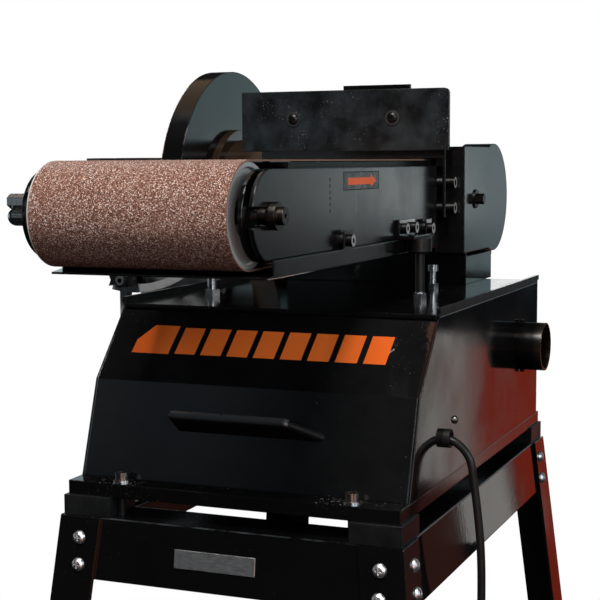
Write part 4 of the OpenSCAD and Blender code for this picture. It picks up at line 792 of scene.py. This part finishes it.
def make_floor():
    bpy.ops.mesh.primitive_circle_add(
        vertices=96, radius=FLOOR_R, fill_type="NGON", location=(0, 0, FLOOR_Z))
    floor = bpy.context.object
    floor.name = "floor"
    m, tree, b, where = start("pale_floor", (0.80, 0.80, 0.79), 0.7)
    tone = blend_color(tree, noise(tree, where, 6, 4), (0.78, 0.78, 0.77), (0.84, 0.84, 0.83))
    tree.links.new(tone, b.inputs["Base Color"])
    floor.data.materials.append(m)
    floor.visible_glossy = False
    floor.visible_diffuse = False


def mesh_object(name, build, finish, body):
    """A new piece that rides on a body: build fills a bmesh in the shared frame."""
    data = bpy.data.meshes.new(name)
    shape = bmesh.new()
    build(shape)
    shape.to_mesh(data)
    shape.free()
    obj = bpy.data.objects.new(name, data)
    scene.collection.objects.link(obj)
    data.materials.append(finish)
    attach(obj, body)
    return obj


def block(shape, place, size, edge):
    """A box with slightly rounded edges: place is the matrix of its middle."""
    bmesh.ops.create_cube(shape, size=1.0, matrix=place @ Matrix.Diagonal((*size, 1)))
    bmesh.ops.bevel(shape, geom=list(shape.edges), offset=edge, segments=2, affect="EDGES",
                    profile=0.5)


def name_plate(shape):
    """A blank plate on the front rail, which leans out at the foot."""
    lean = Matrix.Rotation(math.radians(RAIL_LEAN_DEG), 4, "X")
    block(shape, Matrix.Translation(PLATE_AT) @ lean, PLATE_SIZE, PLATE_EDGE)


def folded_lip(shape, low, high):
    """A folded edge of sheet metal between two corners."""
    low, high = Vector(low), Vector(high)
    block(shape, Matrix.Translation((low + high) / 2), high - low, LIP_EDGE)


def front_lip(shape):
    """The upper edge of the pedestal's front sheet, below the rear cover."""
    folded_lip(shape, *FRONT_LIP)


def rear_lip(shape):
    """A black upstand at the rear edge of the pedestal, below the rear cover: a dark sheet that
    stands in for shade in the slit under the cover.
    """
    folded_lip(shape, *REAR_SHADE_LIP)


def rounded(value):
    """The square root with the sign kept, which makes a circle nearly square."""
    return math.copysign(abs(value) ** 0.5, value)


def coil_tie(shape):
    """A strap round the bundle of the coil, on its side away from the plug."""
    middle = Vector((COIL_X + COIL_MEAN_R, COIL_Y, COIL_Z + COIL_PITCH / 2))
    rows = []
    for side in (-TIE_HALF_L, TIE_HALF_L):
        for grow in (0.0, TIE_T):
            row = []
            for k in range(TIE_POINTS):
                a = 2 * math.pi * k / TIE_POINTS
                px = rounded(math.cos(a)) * (TIE_HALF_W + grow)
                pz = max(rounded(math.sin(a)) * (TIE_HALF_H + grow), -TIE_HALF_H + grow * 0.1)
                row.append(shape.verts.new(middle + Vector((px, side, pz))))
            rows.append(row)
    for a, b in ((0, 1), (1, 3), (3, 2), (2, 0)):
        for k in range(TIE_POINTS):
            n = (k + 1) % TIE_POINTS
            shape.faces.new((rows[a][k], rows[a][n], rows[b][n], rows[b][k]))
    bmesh.ops.recalc_face_normals(shape, faces=list(shape.faces))


make_floor()
mesh_object("name_plate", name_plate, PLATE, "frame")
mesh_object("pedestal_front_lip", front_lip, BLACK, "frame")
mesh_object("pedestal_rear_shade_lip", rear_lip, BLACK, "frame")
tie = mesh_object("coil_tie", coil_tie, PLASTIC, "frame")
